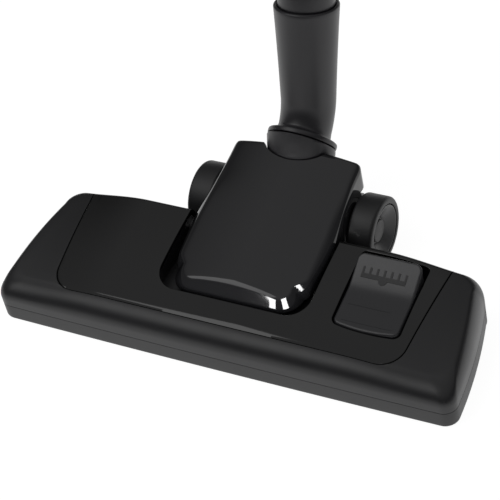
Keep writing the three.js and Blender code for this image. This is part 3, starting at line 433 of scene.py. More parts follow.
# %% The body under the top
def pillow(name, inset, low, sink=0.0):
    """The body under the top surface: walls from low, a quarter-round roll at the edges, then rings that
    close in on the middle line, all at the top's height less the inset. sink lowers the whole body and
    brings it forward a little."""
    corner = max(CORNER - inset, 2)
    base = max(low, SEAM) + 1
    rings = [lift(plan_outline(inset, inset, inset, corner), low)]
    for t in np.linspace(0, np.pi / 2, 16):
        inward = 1 - np.cos(t)
        rolls = np.array([FRONT_ROLL, END_ROLL, REAR_ROLL]) * inward + inset
        outline = plan_outline(*rolls, corner + 4 * inward)
        height = top_height(*outline.T) - inset - base
        rings.append(lift(outline, base + height * (0.25 + 0.75 * np.sin(t))))
    flat = plan_outline(FRONT_ROLL + 6, END_ROLL + 6, REAR_ROLL + 6, CORNER)
    for f in np.linspace(0, 0.96, 18):
        outline = flat * [1 - 0.2 * f, 1 - f]
        rings.append(lift(outline, top_height(*outline.T) - inset))
    partner = np.roll(flat[::-1], len(flat) // 2 + 1, axis=0)
    outline = (flat + partner) / 2 * [0.8, 0]
    rings.append(lift(outline, top_height(*outline.T) - inset))
    return skin(name, np.array(rings) - [0, 0.8 * sink, sink], capped=(True, False))

# %% [markdown]
# ## Rounded outlines and plates
#
# The panel, the pedal and the openings are all plates or holes with rounded corners. One function rounds
# any outline, one makes a plate with a soft edge under a height function, and one makes a cutter whose
# walls open a little at the top.

# %% Rounded outlines and plates
def rounded(corners, radii, grow=0.0, arc=12, side=10):
    """A convex outline, anticlockwise, grown outward, with each corner rounded by an arc that touches both
    of its sides, and each side split into equal steps."""
    corners = np.asarray(corners, float)
    sides = np.roll(corners, -1, 0) - corners
    sides /= np.linalg.norm(sides, axis=1, keepdims=True)
    before, after = np.roll(sides, 1, 0), sides
    out_before, out_after = before[:, ::-1] * [1, -1], after[:, ::-1] * [1, -1]
    half = np.arccos(np.clip((before * after).sum(1), -1, 1)) / 2
    mitre = (out_before + out_after) / (2 * np.cos(half) ** 2)[:, None]
    centre = corners - mitre * np.asarray(radii, float)[:, None]
    start = np.arctan2(out_before[:, 1], out_before[:, 0])
    angle = start[:, None] + 2 * half[:, None] * np.linspace(0, 1, arc)
    reach = (np.asarray(radii, float) + grow)[:, None]
    arcs = centre[:, None] + np.stack([reach * np.cos(angle), reach * np.sin(angle)], -1)
    last, first = arcs[:, -1:], np.roll(arcs[:, :1], -1, 0)
    steps = np.linspace(0, 1, side + 2)[1:-1, None]
    runs = last + (first - last) * steps
    return np.concatenate([arcs, runs], 1).reshape(-1, 2)


def plate(name, outline, height, low, rounding, shrink=20):
    """A plate under a height function: walls from low, an edge rounded by a quarter circle, and rings that
    shrink to the middle. outline is a function of how much the outline grows."""
    rings = [lift(outline(0), low)]
    for t in np.linspace(0, np.pi / 2, 7):
        ring = outline(-rounding * (1 - np.cos(t)))
        rings.append(lift(ring, height(*ring.T) - rounding * (1 - np.sin(t))))
    edge = outline(-rounding)
    middle = edge.mean(0)
    for f in np.linspace(0, 0.99, shrink)[1:]:
        ring = middle + (edge - middle) * (1 - f)
        rings.append(lift(ring, height(*ring.T)))
    return skin(name, rings)


def flared_tool(name, outline, height, low, rounding):
    """A cutter whose walls open in a quarter circle where they meet the height function."""
    rings = [lift(outline(0), low)]
    for t in np.linspace(0, np.pi / 2, 7):
        ring = outline(rounding * (1 - np.cos(t)))
        rings.append(lift(ring, height(*ring.T) - rounding * (1 - np.sin(t)) + 0.01))
    rings.append(lift(outline(rounding), 90))
    return skin(name, rings)

# %% [markdown]
# ## Outlines of the panel, bay and well
#
# Each opening's outline can grow or shrink, so a hole, its rim and what sits in it stay parallel. Outlines
# that leave through the rear edge simply run past it.

# %% Outlines of the panel, bay and well
PAST_REAR = 60
PANEL_FRONT, PANEL_FRONT_HALF, PANEL_REAR_HALF = FRONT_Y + 9.6, 106, 114.5
BAY_HALF, BAY_FRONT, BAY_FLOOR = 46.5, FRONT_Y + 24, 22.5
PEDAL_X, PEDAL_HALF = 81.5, 19.0
WELL_FRONT, WELL_REAR, WELL_FLOOR, WELL_GAP = -15.9, 33.1, 17.2, 0.7
PEDAL_BOW, BOW_DEPTH = 2.2, 14


def panel_outline(grow):
    """The trim panel's plan: rounded at the front, wider at the rear, and run past the rear edge."""
    front, rear = PANEL_FRONT_HALF, PANEL_REAR_HALF
    corners = [(-front, PANEL_FRONT), (front, PANEL_FRONT), (rear, PAST_REAR), (-rear, PAST_REAR)]
    return rounded(corners, [14, 14, 2, 2], grow, side=50)


def bay_outline(grow):
    """The bay round the hood: rounded at the front and run past the rear edge."""
    half = BAY_HALF
    corners = [(-half, BAY_FRONT), (half, BAY_FRONT), (half, PAST_REAR), (-half, PAST_REAR)]
    return rounded(corners, [13, 13, 2, 2], grow, side=24)


def bowed(outline, front):
    """Bows an outline's front edge forward about the pedal's middle line: a parabola across the width that
    fades to nothing BOW_DEPTH behind the front."""
    across = np.clip((outline[:, 0] - PEDAL_X) / PEDAL_HALF, -1, 1)
    share = np.clip(1 - (outline[:, 1] - front) / BOW_DEPTH, 0, 1)
    return outline - np.column_stack([0 * across, PEDAL_BOW * share * (1 - across ** 2)])


def well_outline(grow):
    """The pedal's well: a rectangle with small corners and a front edge that bows forward."""
    x0, x1 = PEDAL_X - PEDAL_HALF - WELL_GAP, PEDAL_X + PEDAL_HALF + WELL_GAP
    corners = [(x0, WELL_FRONT + 1.6), (x1, WELL_FRONT + 1.6), (x1, WELL_REAR), (x0, WELL_REAR)]
    return bowed(rounded(corners, [3.4, 3.4, 2.5, 2.5], grow, arc=8, side=24), WELL_FRONT)

# %% [markdown]
# ## Top shell
#
# The shell is one satin moulding with a shallow pocket for the panel, a bay for the hood and a well for the
# pedal. Cutting solids is the simplest way to get all three in one skin. The cutters' walls open in a small
# quarter circle where they meet the top, because a moulded edge is never sharp and its glint shows.

# %% Top shell
DOOR_HALF, ARM_TOP = 36.9, 20.35
BAY_SKIN = 1.8
ABOVE = 80


def top_shell():
    """A pillow with the panel's pocket, a hollow under the walls, the bay, the well and the rear opening."""
    shell = pillow("top_shell_skin", 0, SEAM + GAP)
    pocket = flared_tool("pocket", lambda g: panel_outline(g + GAP), top_height, 20, 0.45)
    combine(pocket, pillow("pocket_floor", 0, 0, WALL + GAP))
    hollow = pillow("hollow", WALL + 2 * GAP + WALL, 0)
    keep_bay = prism("keep_bay", bay_outline(WALL), 0, ABOVE)
    bay_range = block("keep_bay_range", (-99, -99, BAY_FLOOR - BAY_SKIN), (99, 99, ABOVE))
    cut(hollow, combine(keep_bay, bay_range, "INTERSECT"))
    cut(hollow, prism("keep_well", well_outline(WALL), WELL_FLOOR - BAY_SKIN, ABOVE))
    cut(shell, pocket, hollow)
    cut(shell, prism("bay", bay_outline(0), BAY_FLOOR, ABOVE))
    cut(shell, prism("well", well_outline(0), WELL_FLOOR, ABOVE))
    cut(shell, block("arm_door", (-DOOR_HALF, REAR_Y - 12, 0), (DOOR_HALF, REAR_Y + 10, ARM_TOP)))
    cut(shell, block("rear_door", (-DOOR_HALF, REAR_Y - 4, 0), (DOOR_HALF, REAR_Y + 10, ABOVE)))
    return settle(shell, "nozzle", "satin_plastic", SATIN, "top_shell")


top_shell()

# %% [markdown]
# ## Trim panel
#
# The panel is a thin polished skin with the shell's own crown. It could be drawn as a sheet with thickness,
# but a rounded plate less the same plate sunk by its wall gives an even skin with soft edges all round.

# %% Trim panel
def trim_panel():
    """A plate over the pocket, trimmed to the crown, thinned from below and opened for bay and well."""
    panel = plate("trim_panel_skin", panel_outline, top_height, 20.5, 0.6, shrink=60)
    combine(panel, pillow("crown", 0, 12), "INTERSECT")
    cut(panel, pillow("underside", 0, 0, WALL))
    cut(panel, flared_tool("bay_edge", bay_outline, top_height, 0, 0.6))
    cut(panel, flared_tool("well_edge", well_outline, top_height, 0, 0.5))
    return settle(panel, "nozzle", "gloss_trim", GLOSS, "trim_panel")


trim_panel()

# %% [markdown]
# ## Hood
#
# The hood is the part that the eye finds first: a polished cover with a long flat face that climbs to the
# rear, sloping flanks, and rounded edges. Each side is a plane, and the height is the lowest of the planes
# with the edges between them softened, which is how a modeller would round a block of wax.

# %% Hood
AXLE_Y, AXLE_Z = 66.3, 20.6
AXLE_R = 2.5
AXLE_HOLE_R = AXLE_R + GAP
HOOD_FRONT, HOOD_REAR = AXLE_Y - 81.5, AXLE_Y + 21.5
HOOD_HALF, HOOD_BULGE = 40.0, 3.6
HOOD_SOFT, HOOD_WALL, HOOD_RIM = 0.9, 2.4, 2.0
NOSE_CORNER, NOSE_RISE = 15.0, 5.2
FACE_RISE, FACE_FOOT, FACE_SLOPE, FACE_ROUND = 15.8, 73, 0.238, 420
FACE_HALF, FACE_TAPER = 38.6, 3.6
WING_HALF, WING_SLOPE = 24, 0.15
SHOULDER_SLOPE, END_SLOPE = 0.85, 1.5
TAIL_START = 16
SWELL_MIDDLE, SWELL_REACH = 36, 46


def nose_distance(x, y):
    """Distance in from the rounded front edge: the corner radius less the distance to the corner's centre,
    plus whatever lies behind that centre."""
    beside = np.maximum(np.abs(x) - (HOOD_HALF - NOSE_CORNER), 0)
    centre = HOOD_FRONT + NOSE_CORNER
    return NOSE_CORNER - np.hypot(beside, np.maximum(centre - y, 0)) + np.maximum(y - centre, 0)


def hood_height(x, y):
    """Planes: the face, gentle wings beside the collar, shoulders, a nose that follows the front corners, and
    the tail. The shoulders start closer to the middle towards the rear. The small lifts make up for what the
    rounding takes off."""
    back = y - AXLE_Y
    face = AXLE_Z + FACE_RISE + (back + FACE_FOOT) * FACE_SLOPE - x * x / FACE_ROUND
    ease = smooth((back + 36) / 36)
    wing = face + (WING_HALF - np.abs(x)) * WING_SLOPE * ease + 2 * (1 - ease)
    face_half = FACE_HALF - FACE_TAPER * smooth((back + 38) / 54)
    shoulder = face + (face_half - np.abs(x)) * SHOULDER_SLOPE
    nose = AXLE_Z + NOSE_RISE + nose_distance(x, y) * END_SLOPE
    tail = face + (TAIL_START - back) * END_SLOPE
    return soft_min([face + 0.25, wing + 0.25, shoulder + 0.25, nose, tail + 0.3], HOOD_SOFT)


def hood_outline(grow):
    """The hood's plan: a rounded rectangle whose sides swell by a squared cosine of the depth."""
    half = HOOD_HALF
    corners = [(-half, HOOD_FRONT), (half, HOOD_FRONT), (half, HOOD_REAR), (-half, HOOD_REAR)]
    outline = rounded(corners, [NOSE_CORNER, NOSE_CORNER, 7, 7], grow, arc=22, side=60)
    share = np.clip((outline[:, 1] - AXLE_Y + SWELL_MIDDLE) / SWELL_REACH, -1, 1)
    swell = np.cos(np.pi / 2 * share) ** 2
    return outline * np.column_stack([1 + HOOD_BULGE / HOOD_HALF * swell, np.ones_like(swell)])


def hood_body(name, inset, low):
    """The hood's block: walls from low, a rounded rim, then rings that shrink to the middle."""
    middle = np.array([0, AXLE_Y - 30])
    rim = HOOD_RIM - inset * 0.4
    rings = [lift(hood_outline(-inset), low)]
    for t in np.linspace(0, np.pi / 2, 8):
        ring = hood_outline(-inset - rim * (1 - np.cos(t)))
        rings.append(lift(ring, hood_height(*ring.T) - inset - rim * (1 - np.sin(t))))
    edge = hood_outline(-inset - rim)
    for f in np.linspace(0, 1, 80)[1:]:
        ring = middle + (edge - middle) * (1 - 0.985 * f)
        rings.append(lift(ring, hood_height(*ring.T) - inset))
    return skin(name, rings)


print("hood climbs from", round(float(hood_height(0, HOOD_FRONT + 12)), 1), "to",
      round(float(hood_height(0, AXLE_Y)), 1), "mm at the axle")

# %% [markdown]
# ## Rings along the neck's line
#
# The collar and the neck lean more and more upright, so their rings can't lie flat. A ring that is square
# to a leaning line is the basic shape here, and the swivel plane is the place where collar and neck meet.

# %% Rings along the neck's line
def ring_across(y, z, lean, radius, depth=None, steps=96):
    """An ellipse square to a direction in the YZ plane that leans back from vertical by lean degrees: radius
    across, and depth, or the same radius, front to back."""
    angle = np.linspace(0, 2 * np.pi, steps, endpoint=False)
    lean = np.radians(lean)
    depth = radius if depth is None else depth
    forward = depth * np.sin(angle)
    return np.column_stack([radius * np.cos(angle), y + forward * np.cos(lean), z - forward * np.sin(lean)])


SWIVEL_Y, SWIVEL_Z, SWIVEL_LEAN = 90.8, 53.7, 57.0
COLLAR_R, COLLAR_SIDE_GAP, COLLAR_FRONT_GAP = 20.3, 1.9, 0.9
SOCKET_ROOT = (72.6, 27.3, 43.3, 15.5, 15.5)
SOCKET_KNEE = (87.0, 45.3, 38.0, 20.0, 16.4)
BARREL_R = 18.5


def swivel_point(t):
    """A point t millimetres past the swivel plane, on the swivel axis."""
    lean = np.radians(SWIVEL_LEAN)
    return SWIVEL_Y + t * np.sin(lean), SWIVEL_Z + t * np.cos(lean)


def swivel_ring(t, radius):
    """A circle about the swivel axis, t millimetres past the swivel plane."""
    return ring_across(*swivel_point(t), SWIVEL_LEAN, radius)


def socket_ring(f, grow_side=0.0, grow_front=0.0):
    """A ring of the socket. From f = 0 at the barrel to 1 at its knee to 2 at the swivel plane, the centre,
    the lean and both radii pass evenly from one stated ring to the next."""
    swivel = (*swivel_point(-0.9), SWIVEL_LEAN, COLLAR_R, COLLAR_R)
    stated = np.array([SOCKET_ROOT, SOCKET_KNEE, swivel])
    y, z, lean, across, depth = [np.interp(f, [0, 1, 2], column) for column in stated.T]
    return ring_across(y, z, lean, across + grow_side, depth + grow_front)


def axle_rod(name, radius, x0, x1, steps=96):
    """A rod along the axle's line, whose ends close at a tiny inner ring."""
    profile = [(0.01, x0), (radius, x0), (radius, x1), (0.01, x1)]
    return skin(name, turned_rings(profile, AXLE_Y, AXLE_Z, steps))

# %% [markdown]
# ## Cutting the hood
#
# The block becomes a cover: it is hollowed, trimmed above the nozzle, kept round the barrel, and opened
# for the collar that rises through it.

# %% Cut the hood
def hood():
    """The hood's block, hollowed, kept above the seam and round the barrel, and opened for the collar."""
    cover = hood_body("hood_skin", 0, AXLE_Z - 9)
    cut(cover, hood_body("hood_inside", HOOD_WALL, AXLE_Z - 12))
    keep = block("above", (-60, -60, AXLE_Z + 6), (60, 130, 90))
    cut(keep, block("behind", (-61, AXLE_Y, 0), (61, 131, AXLE_Z + 15)))
    join(keep, axle_rod("boss", BARREL_R + 0.5, -60, 60))
    combine(cover, keep, "INTERSECT")
    rings = [socket_ring(f, COLLAR_SIDE_GAP, COLLAR_FRONT_GAP) for f in np.linspace(0, 2, 9)]
    collar_hole = skin("collar_hole", [*rings, swivel_ring(20, COLLAR_R + COLLAR_SIDE_GAP)])
    cut(cover, collar_hole, axle_rod("axle_hole", AXLE_HOLE_R, -60, 60, 32))
    return settle(cover, "tilt_housing", "gloss_trim", GLOSS, "hood", crease=38)


hood()

# %% [markdown]
# ## Base shell
#
# The base is the bumper that the shell sits on, with the sole below and two arms that reach back to the
# axle. It is an extruded plan with a small chamfer, hollowed, with the arms joined on.

# %% Base shell
CHEEK_IN, CHEEK_OUT, BOSS_R = 32.0, 36.5, 9
FRONT_STRIP, REAR_STRIP, REAR_STRIP_IN = FRONT_Y + 11.5, -3.6, 35.0
STRIP_HALF, STRIP_PLAY, STRIP_END = 2.1, 0.8, 110.0
CHAMFER, FLOOR_THICK, SOLE_THICK = 0.8, 3.4, 1.0
SCREW_PAD_R, SCREW_HOLE_R, SCREW_SEAT_R = 4.6, 1.85, 3.65
SCREW_SPOTS = [(-124, -22), (124, -22), (-119, 27), (119, 27), (-54, 30), (54, 30)]


def floor_window():
    """A cutter for the window that clears the mouth and the three rows of bristles."""
    half, end = STRIP_HALF + STRIP_PLAY, STRIP_END + 1
    return block("window", (-end, FRONT_STRIP - half, -2), (end, REAR_STRIP + half, 5))


def flat_ring(inset, corner, z):
    """The plan, inset evenly all round, at one height."""
    return lift(plan_outline(inset, inset, inset, corner), z)


def arm(base, side):
    """Joins one of the two arms, with the round boss that holds the axle."""
    low, high = AXLE_Z - BOSS_R, AXLE_Z + BOSS_R
    profile = [(REAR_Y - 9, 2), (AXLE_Y, low), (AXLE_Y, high), (REAR_Y - 3, 20), (REAR_Y - 9, 20)]
    x0, x1 = sorted((side * CHEEK_IN, side * CHEEK_OUT))
    join(base, side_prism("arm", profile, x0, x1), axle_rod("arm_boss", BOSS_R, x0, x1))


def screw_hole(base, x, y):
    """Joins a pad round a screw and cuts its hole and the seat of its head."""
    join(base, prism("screw_pad", circle(x, y, SCREW_PAD_R), 1.4, 3.6))
    cut(base, prism("screw_hole", circle(x, y, SCREW_HOLE_R), -1, 6))
    cut(base, prism("screw_seat", circle(x, y, SCREW_SEAT_R), -1, 2.4))


def base_shell():
    """A plan with a rounded lower edge, hollowed, with the sole's seat, the window, the arms and screws."""
    turn = np.linspace(0, np.pi / 2, 6)
    edge = [flat_ring(CHAMFER * (1 - np.sin(t)), CORNER, CHAMFER * 2 * (1 - np.cos(t))) for t in turn]
    base = skin("base_shell_skin", [*edge, flat_ring(0, CORNER, SEAM)])
    inside = [flat_ring(WALL, CORNER - WALL, z) for z in (FLOOR_THICK, SEAM + 5)]
    cut(base, skin("base_inside", inside))
    cut(base, prism("sole_seat", plan_outline(7.65, 19.65, 17.65, 5), -1, SOLE_THICK + GAP), floor_window())
    for side in (-1, 1):
        arm(base, side)
    cut(base, block("throat", (-CHEEK_IN, REAR_Y - 9, 3), (CHEEK_IN, REAR_Y + 20, 40)))
    for x, y in SCREW_SPOTS:
        screw_hole(base, x, y)
    cut(base, axle_rod("axle_hole", AXLE_HOLE_R, -60, 60, 32))
    return settle(base, "nozzle", "base_plastic", BASE, "base_shell")


base_shell()

# %% [markdown]
# ## Collar, neck and wand tube
#
# The neck is a bent tube that flares to its rim. A tube with a bore is one closed skin: rings run up the
# outside, over the rim and back down the bore. The collar below it is made in the same way between the
# barrel's foot and the sloping swivel plane.

# %% Line of the neck
NECK_ROOT, NECK_RIM, NECK_BEND, BEND_R, STRAIGHT = 15.3, 18.6, 40.0, 35.0, 55.0
FLANGE_OFF = 0.05
SPIGOT_R = 14.1
WAND_R, WAND_TAPER, WAND_IN, WAND_OUT = 16.2, 0.9, 25.5, 45


def neck_line(steps=26):
    """The centre line past the swivel plane: an arc of BEND_R that turns through NECK_BEND degrees, then a
    straight run. Returns rows of y, z, lean and share of the whole length."""
    y0, z0 = swivel_point(3)
    lean = SWIVEL_LEAN - np.linspace(0, NECK_BEND, steps)
    angle, first = np.radians(lean), np.radians(SWIVEL_LEAN)
    y = y0 + BEND_R * (np.cos(angle) - np.cos(first))
    z = z0 + BEND_R * (np.sin(first) - np.sin(angle))
    arc = BEND_R * np.radians(NECK_BEND)
    total = arc + STRAIGHT
    bend = np.column_stack([y, z, lean, np.linspace(0, arc, steps) / total])
    run = np.linspace(0, STRAIGHT, steps)[1:]
    line = np.column_stack([
        y[-1] + run * np.sin(angle[-1]),
        z[-1] + run * np.cos(angle[-1]),
        np.full(len(run), lean[-1]),
        (arc + run) / total,
    ])
    return np.vstack([bend, line])


def beyond_rim(distance):
    """The y, z and lean of a point on the neck's line, distance past the rim."""
    y, z, lean, _ = neck_line()[-1]
    return y + distance * np.sin(np.radians(lean)), z + distance * np.cos(np.radians(lean)), lean


def neck_radius(share):
    """The outside radius: it grows with share to the power 1.5."""
    return NECK_ROOT + (NECK_RIM - NECK_ROOT) * share ** 1.5


print("the rim's middle stands at", round(float(beyond_rim(0)[1]), 1), "mm")

# %% [markdown]
# ## The neck's skin
#
# The neck stands on a thin flange that turns on the collar. One closed run of rings makes its outside, its
# rim and its bore, which is simpler than a solid with a hole cut along a bend.

# %% The neck
def neck():
    """Up the spigot and the flange, up the outside, over the rim, down the wand's taper and the bore."""
    line = neck_line()
    flange = [
        (-5, SPIGOT_R), (GAP, SPIGOT_R), (GAP, COLLAR_R - 0.5), (GAP + 0.15, COLLAR_R - 0.1),
        (GAP + 0.5, COLLAR_R), (2.4, COLLAR_R), (3.0, COLLAR_R - 0.2), (3.4, COLLAR_R - 0.8),
        (3.5, NECK_ROOT + 2.6), (3.7, NECK_ROOT + 1.7), (4.3, NECK_ROOT + 0.9), (5.2, NECK_ROOT + 0.35),
    ]
    outside = [(y, z, lean, neck_radius(share)) for y, z, lean, share in line if share > FLANGE_OFF]
    rim = [
        (0.35, NECK_RIM - 0.12), (0.75, NECK_RIM - 0.5), (0.95, NECK_RIM - 1.0), (0.95, WAND_R + 1.0),
        (0.6, WAND_R + 0.45), (0, WAND_R + GAP), (-26, WAND_R - WAND_TAPER + GAP), (-26.2, 14.2),
    ]
    bore = [
        (y, z, lean, neck_radius(share) - 2)
        for y, z, lean, share in line[::-1]
        if FLANGE_OFF < share < 0.6
    ]
    rings = [swivel_ring(t, radius) for t, radius in flange]
    rings += [ring_across(*row) for row in outside]
    rings += [ring_across(*beyond_rim(distance), radius) for distance, radius in rim]
    rings += [ring_across(*row) for row in bore]
    rings += [swivel_ring(2, 12.8), swivel_ring(-5, 12.6)]
    tube = skin("neck_skin", rings, closed=True)
    return settle(tube, "neck", "satin_plastic", NECK, "neck_elbow", crease=40)


neck()

# %% [markdown]
# ## Wand tube, collar and ring
#
# The tube enters the neck's taper and slides in it. The collar is the barrel's foot, cut to stand on the
# drum, and a ring inside it keeps the neck from lifting out.

# %% Wand tube, collar and ring
def wand_tube():
    """Up the outside from the tapered end, and back down the bore."""
    outer = [
        (-WAND_IN, WAND_R - WAND_TAPER), (0, WAND_R), (WAND_OUT - 0.5, WAND_R), (WAND_OUT, WAND_R - 0.4),
    ]
    inner = [(WAND_OUT, WAND_R - 1.1), (0, WAND_R - 1.4), (-WAND_IN, WAND_R - 2.2)]
    rings = [ring_across(*beyond_rim(distance), radius) for distance, radius in outer + inner]
    tube = skin("wand_skin", rings, closed=True)
    return settle(tube, "wand_tube", "wand_plastic", NECK, "wand_sleeve", crease=40)


def collar():
    """Up the outside, over the seat of the flange, down the socket, and cut to stand on the barrel."""
    outer = [socket_ring(f) for f in np.linspace(0, 2, 24)]
    seat = [
        (-0.5, COLLAR_R - 0.1), (-GAP, COLLAR_R - 0.5), (-GAP, 14.6), (-2.6, 14.6), (-2.6, 15.7),
        (-4.9, 15.7),
    ]
    inner = [socket_ring(f, -4.5, -2.6) for f in np.linspace(1.2, 0, 8)]
    rings = outer + [swivel_ring(t, radius) for t, radius in seat] + inner
    body = skin("collar_skin", rings, closed=True)
    cut(body, axle_rod("drum", BARREL_R + GAP, -60, 60))
    return settle(body, "tilt_housing", "satin_plastic", NECK, "swivel_socket", crease=40)


def retaining_ring():
    """The ring that keeps the neck's spigot in the socket."""
    profile = [(-4.6, 14.35), (-2.95, 14.35), (-2.95, 15.3), (-4.6, 15.3)]
    ring = skin("ring_skin", [swivel_ring(t, radius) for t, radius in profile], closed=True)
    return settle(ring, "neck", "inner_plastic", INNER, "retaining_ring")


wand_tube()
collar()
retaining_ring()

# %% [markdown]
# ## Wheels
#
# Each wheel is a tread ring on a dished hub, with a low ring round the axle's cap. All of it is turned on
# the axle's line, so one profile per piece is enough.

# %% Wheel sizes
WHEEL_IN, WHEEL_OUT, WHEEL_R = 43.3, 58.3, 20.2
TREAD_R, INNER_EDGE, OUTER_EDGE = 16.2, 1.6, 2.2
AXLE_INSET = 4.5

# %% [markdown]
# ## Turned parts
#
# A wheel is a lathe job: each part is one profile turned about the axle's line. A distance counted from
# the middle and mirrored by side gives the left and the right wheel from the same numbers.

# %% Wheel parts
def spun(name, profile, side, material, slot, body, node):
    """A ring turned about the axle from pairs of radius and distance, mirrored by side."""
    rings = turned_rings(np.asarray(profile, float) * [1, side], AXLE_Y, AXLE_Z, 128)
    return settle(skin(name, rings, closed=True), body, slot, material, node, crease=30)


def wheel_tread(side, hand):
    """A flat tread with an edge rounded by a quarter circle on each side."""
    t = np.linspace(0, np.pi / 2, 6)
    inner_edge = np.column_stack([
        WHEEL_R - INNER_EDGE + INNER_EDGE * np.sin(t),
        WHEEL_IN + INNER_EDGE - INNER_EDGE * np.cos(t),
    ])
    outer_edge = np.column_stack([
        WHEEL_R - OUTER_EDGE + OUTER_EDGE * np.cos(t),
        WHEEL_OUT - OUTER_EDGE + OUTER_EDGE * np.sin(t),
    ])
    lip = [(TREAD_R + 0.7, WHEEL_OUT), (TREAD_R + 0.2, WHEEL_OUT - 0.3), (TREAD_R, WHEEL_OUT - 0.8)]
    profile = [(TREAD_R, WHEEL_IN + 0.2), *inner_edge, *outer_edge, *lip]
    spun(f"wheel_tread_{hand}", profile, side, TREAD, "tyre_rubber", f"wheel_{hand}", f"tyre_{hand}")


def wheel_dish(side, hand):
    """A bored hub, hollow behind, whose face dips from its rim to a recess for the cap."""
    hub_r = TREAD_R - GAP
    profile = [
        (AXLE_HOLE_R, WHEEL_IN + 0.4), (5.4, WHEEL_IN + 0.4), (5.4, WHEEL_IN + 7), (13.4, WHEEL_IN + 7),
        (13.4, WHEEL_IN + 0.4), (hub_r, WHEEL_IN + 0.4), (hub_r, WHEEL_OUT - 0.9), (15.6, WHEEL_OUT - 0.5),
        (15.0, WHEEL_OUT - 0.45), (14.5, WHEEL_OUT - 0.8), (9.0, WHEEL_OUT - 4.3), (8.2, WHEEL_OUT - 4.9),
        (7.6, WHEEL_OUT - 5.6), (AXLE_HOLE_R, WHEEL_OUT - 5.6),
    ]
    spun(f"wheel_dish_{hand}", profile, side, WHEEL, "wheel_plastic", f"wheel_{hand}", f"wheel_hub_{hand}")


def wheel_cap(side, hand):
    """A low domed cap over the axle's end."""
    profile = [
        (0.02, WHEEL_OUT - 4.2), (AXLE_HOLE_R, WHEEL_OUT - 4.2), (AXLE_HOLE_R, WHEEL_OUT - 5.3),
        (6.4, WHEEL_OUT - 5.3), (6.7, WHEEL_OUT - 5.0), (6.7, WHEEL_OUT - 4.3), (6.4, WHEEL_OUT - 3.8),
        (5.6, WHEEL_OUT - 3.6), (0.02, WHEEL_OUT - 3.4),
    ]
    spun(f"wheel_cap_{hand}", profile, side, INNER, "inner_plastic", "nozzle", f"axle_cap_{hand}")


def wheel_bush(side, hand):
    """The spacer between the housing and the wheel."""
    profile = [(AXLE_HOLE_R, 40.2), (4.7, 40.2), (5, 40.5), (5, 42.7), (4.7, 43), (AXLE_HOLE_R, 43)]
    spun(f"wheel_bush_{hand}", profile, side, INNER, "inner_plastic", "nozzle", f"wheel_spacer_{hand}")


for side, hand in ((-1, "left"), (1, "right")):
    wheel_tread(side, hand)
    wheel_dish(side, hand)
    wheel_cap(side, hand)
    wheel_bush(side, hand)
axle_end = WHEEL_OUT - AXLE_INSET
axle = axle_rod("axle_rod", AXLE_R, -axle_end, axle_end)
settle(axle, "nozzle", "fastener_steel", ZINC, "axle")

# %% [markdown]
# ## Pedal
#
# The pedal is a rocker with two treads that meet at a crease over its pin. Its rear half stands up when the
# brushes are in. A plate under two softened planes gives both treads in one skin, and the mark of a brush
# on the rear tread is raised by a third of a millimetre.

# %% Pedal
PEDAL_FRONT, PEDAL_REAR, CREASE = -14.5, 27.5, 10.0
PEDAL_WALL, PIN_DROP, PIN_HOLE_R = 2.2, 7.6, 2.15
PIN_Z = float(top_height(PEDAL_X, CREASE)) - PIN_DROP
FRONT_RISE, REAR_RISE, REAR_CURVE = 0.168, 0.46, 0.0055
MARK_SPAN, TEETH, TOOTH_WIDTH, KNOB_R = (-13.9, 10.9), 7, 1.2, 2.6
STRIP_LIFT, STRIP_SINK = 0.22, 0.6


def pedal_height(x, y):
    """Two treads that meet at the crease, which a soft maximum rounds: minus the soft minimum of their
    negatives. The rear tread is hollow by a square term, so it steepens towards its rear edge."""
    low = top_height(PEDAL_X, PEDAL_FRONT) + 0.1 + 0 * x
    front = low + (y - PEDAL_FRONT) * FRONT_RISE
    behind = np.maximum(y - CREASE, 0)
    rear = low + (CREASE - PEDAL_FRONT) * FRONT_RISE + (y - CREASE) * REAR_RISE + behind ** 2 * REAR_CURVE
    return -soft_min([-front, -rear], 0.35)


def pedal_outline(grow):
    """The pedal's plan: a rectangle with rounded corners and a bowed front edge."""
    x0, x1 = PEDAL_X - PEDAL_HALF, PEDAL_X + PEDAL_HALF
    corners = [(x0, PEDAL_FRONT + 1), (x1, PEDAL_FRONT + 1), (x1, PEDAL_REAR), (x0, PEDAL_REAR)]
    return bowed(rounded(corners, [3, 3, 4.2, 4.2], grow, side=30), PEDAL_FRONT)

# %% [markdown]
# ## Raised marks on the pedal
#
# The lines and the brush sign are raised on the real pedal, so they are thin solids here, and not paint.
# Each one takes its height from the tread below it, and so lies on it like a real raised mark.

# %% Raised marks
def on_tread(name, outline, material, lift_by=STRIP_LIFT):
    """A thin raised shape on a tread, from a plan outline: its top follows the tread, lift_by above it."""
    height = pedal_height(*outline.T)
    shape = skin(name, [lift(outline, height - STRIP_SINK), lift(outline, height + lift_by)])
    return settle(shape, "pedal", "satin_plastic", material)


def tread_strip(name, u, v, material, lift_by=STRIP_LIFT, steps=24):
    """A raised strip: u runs across from the pedal's middle line and v along from the crease, as pairs."""
    run = np.linspace(0, 1, steps)
    front = np.column_stack([PEDAL_X + u[0] + (u[1] - u[0]) * run, np.full(steps, CREASE + v[0])])
    back = np.column_stack([PEDAL_X + u[0] + (u[1] - u[0]) * run[::-1], np.full(steps, CREASE + v[1])])
    return on_tread(name, np.vstack([front, back]), material, lift_by)


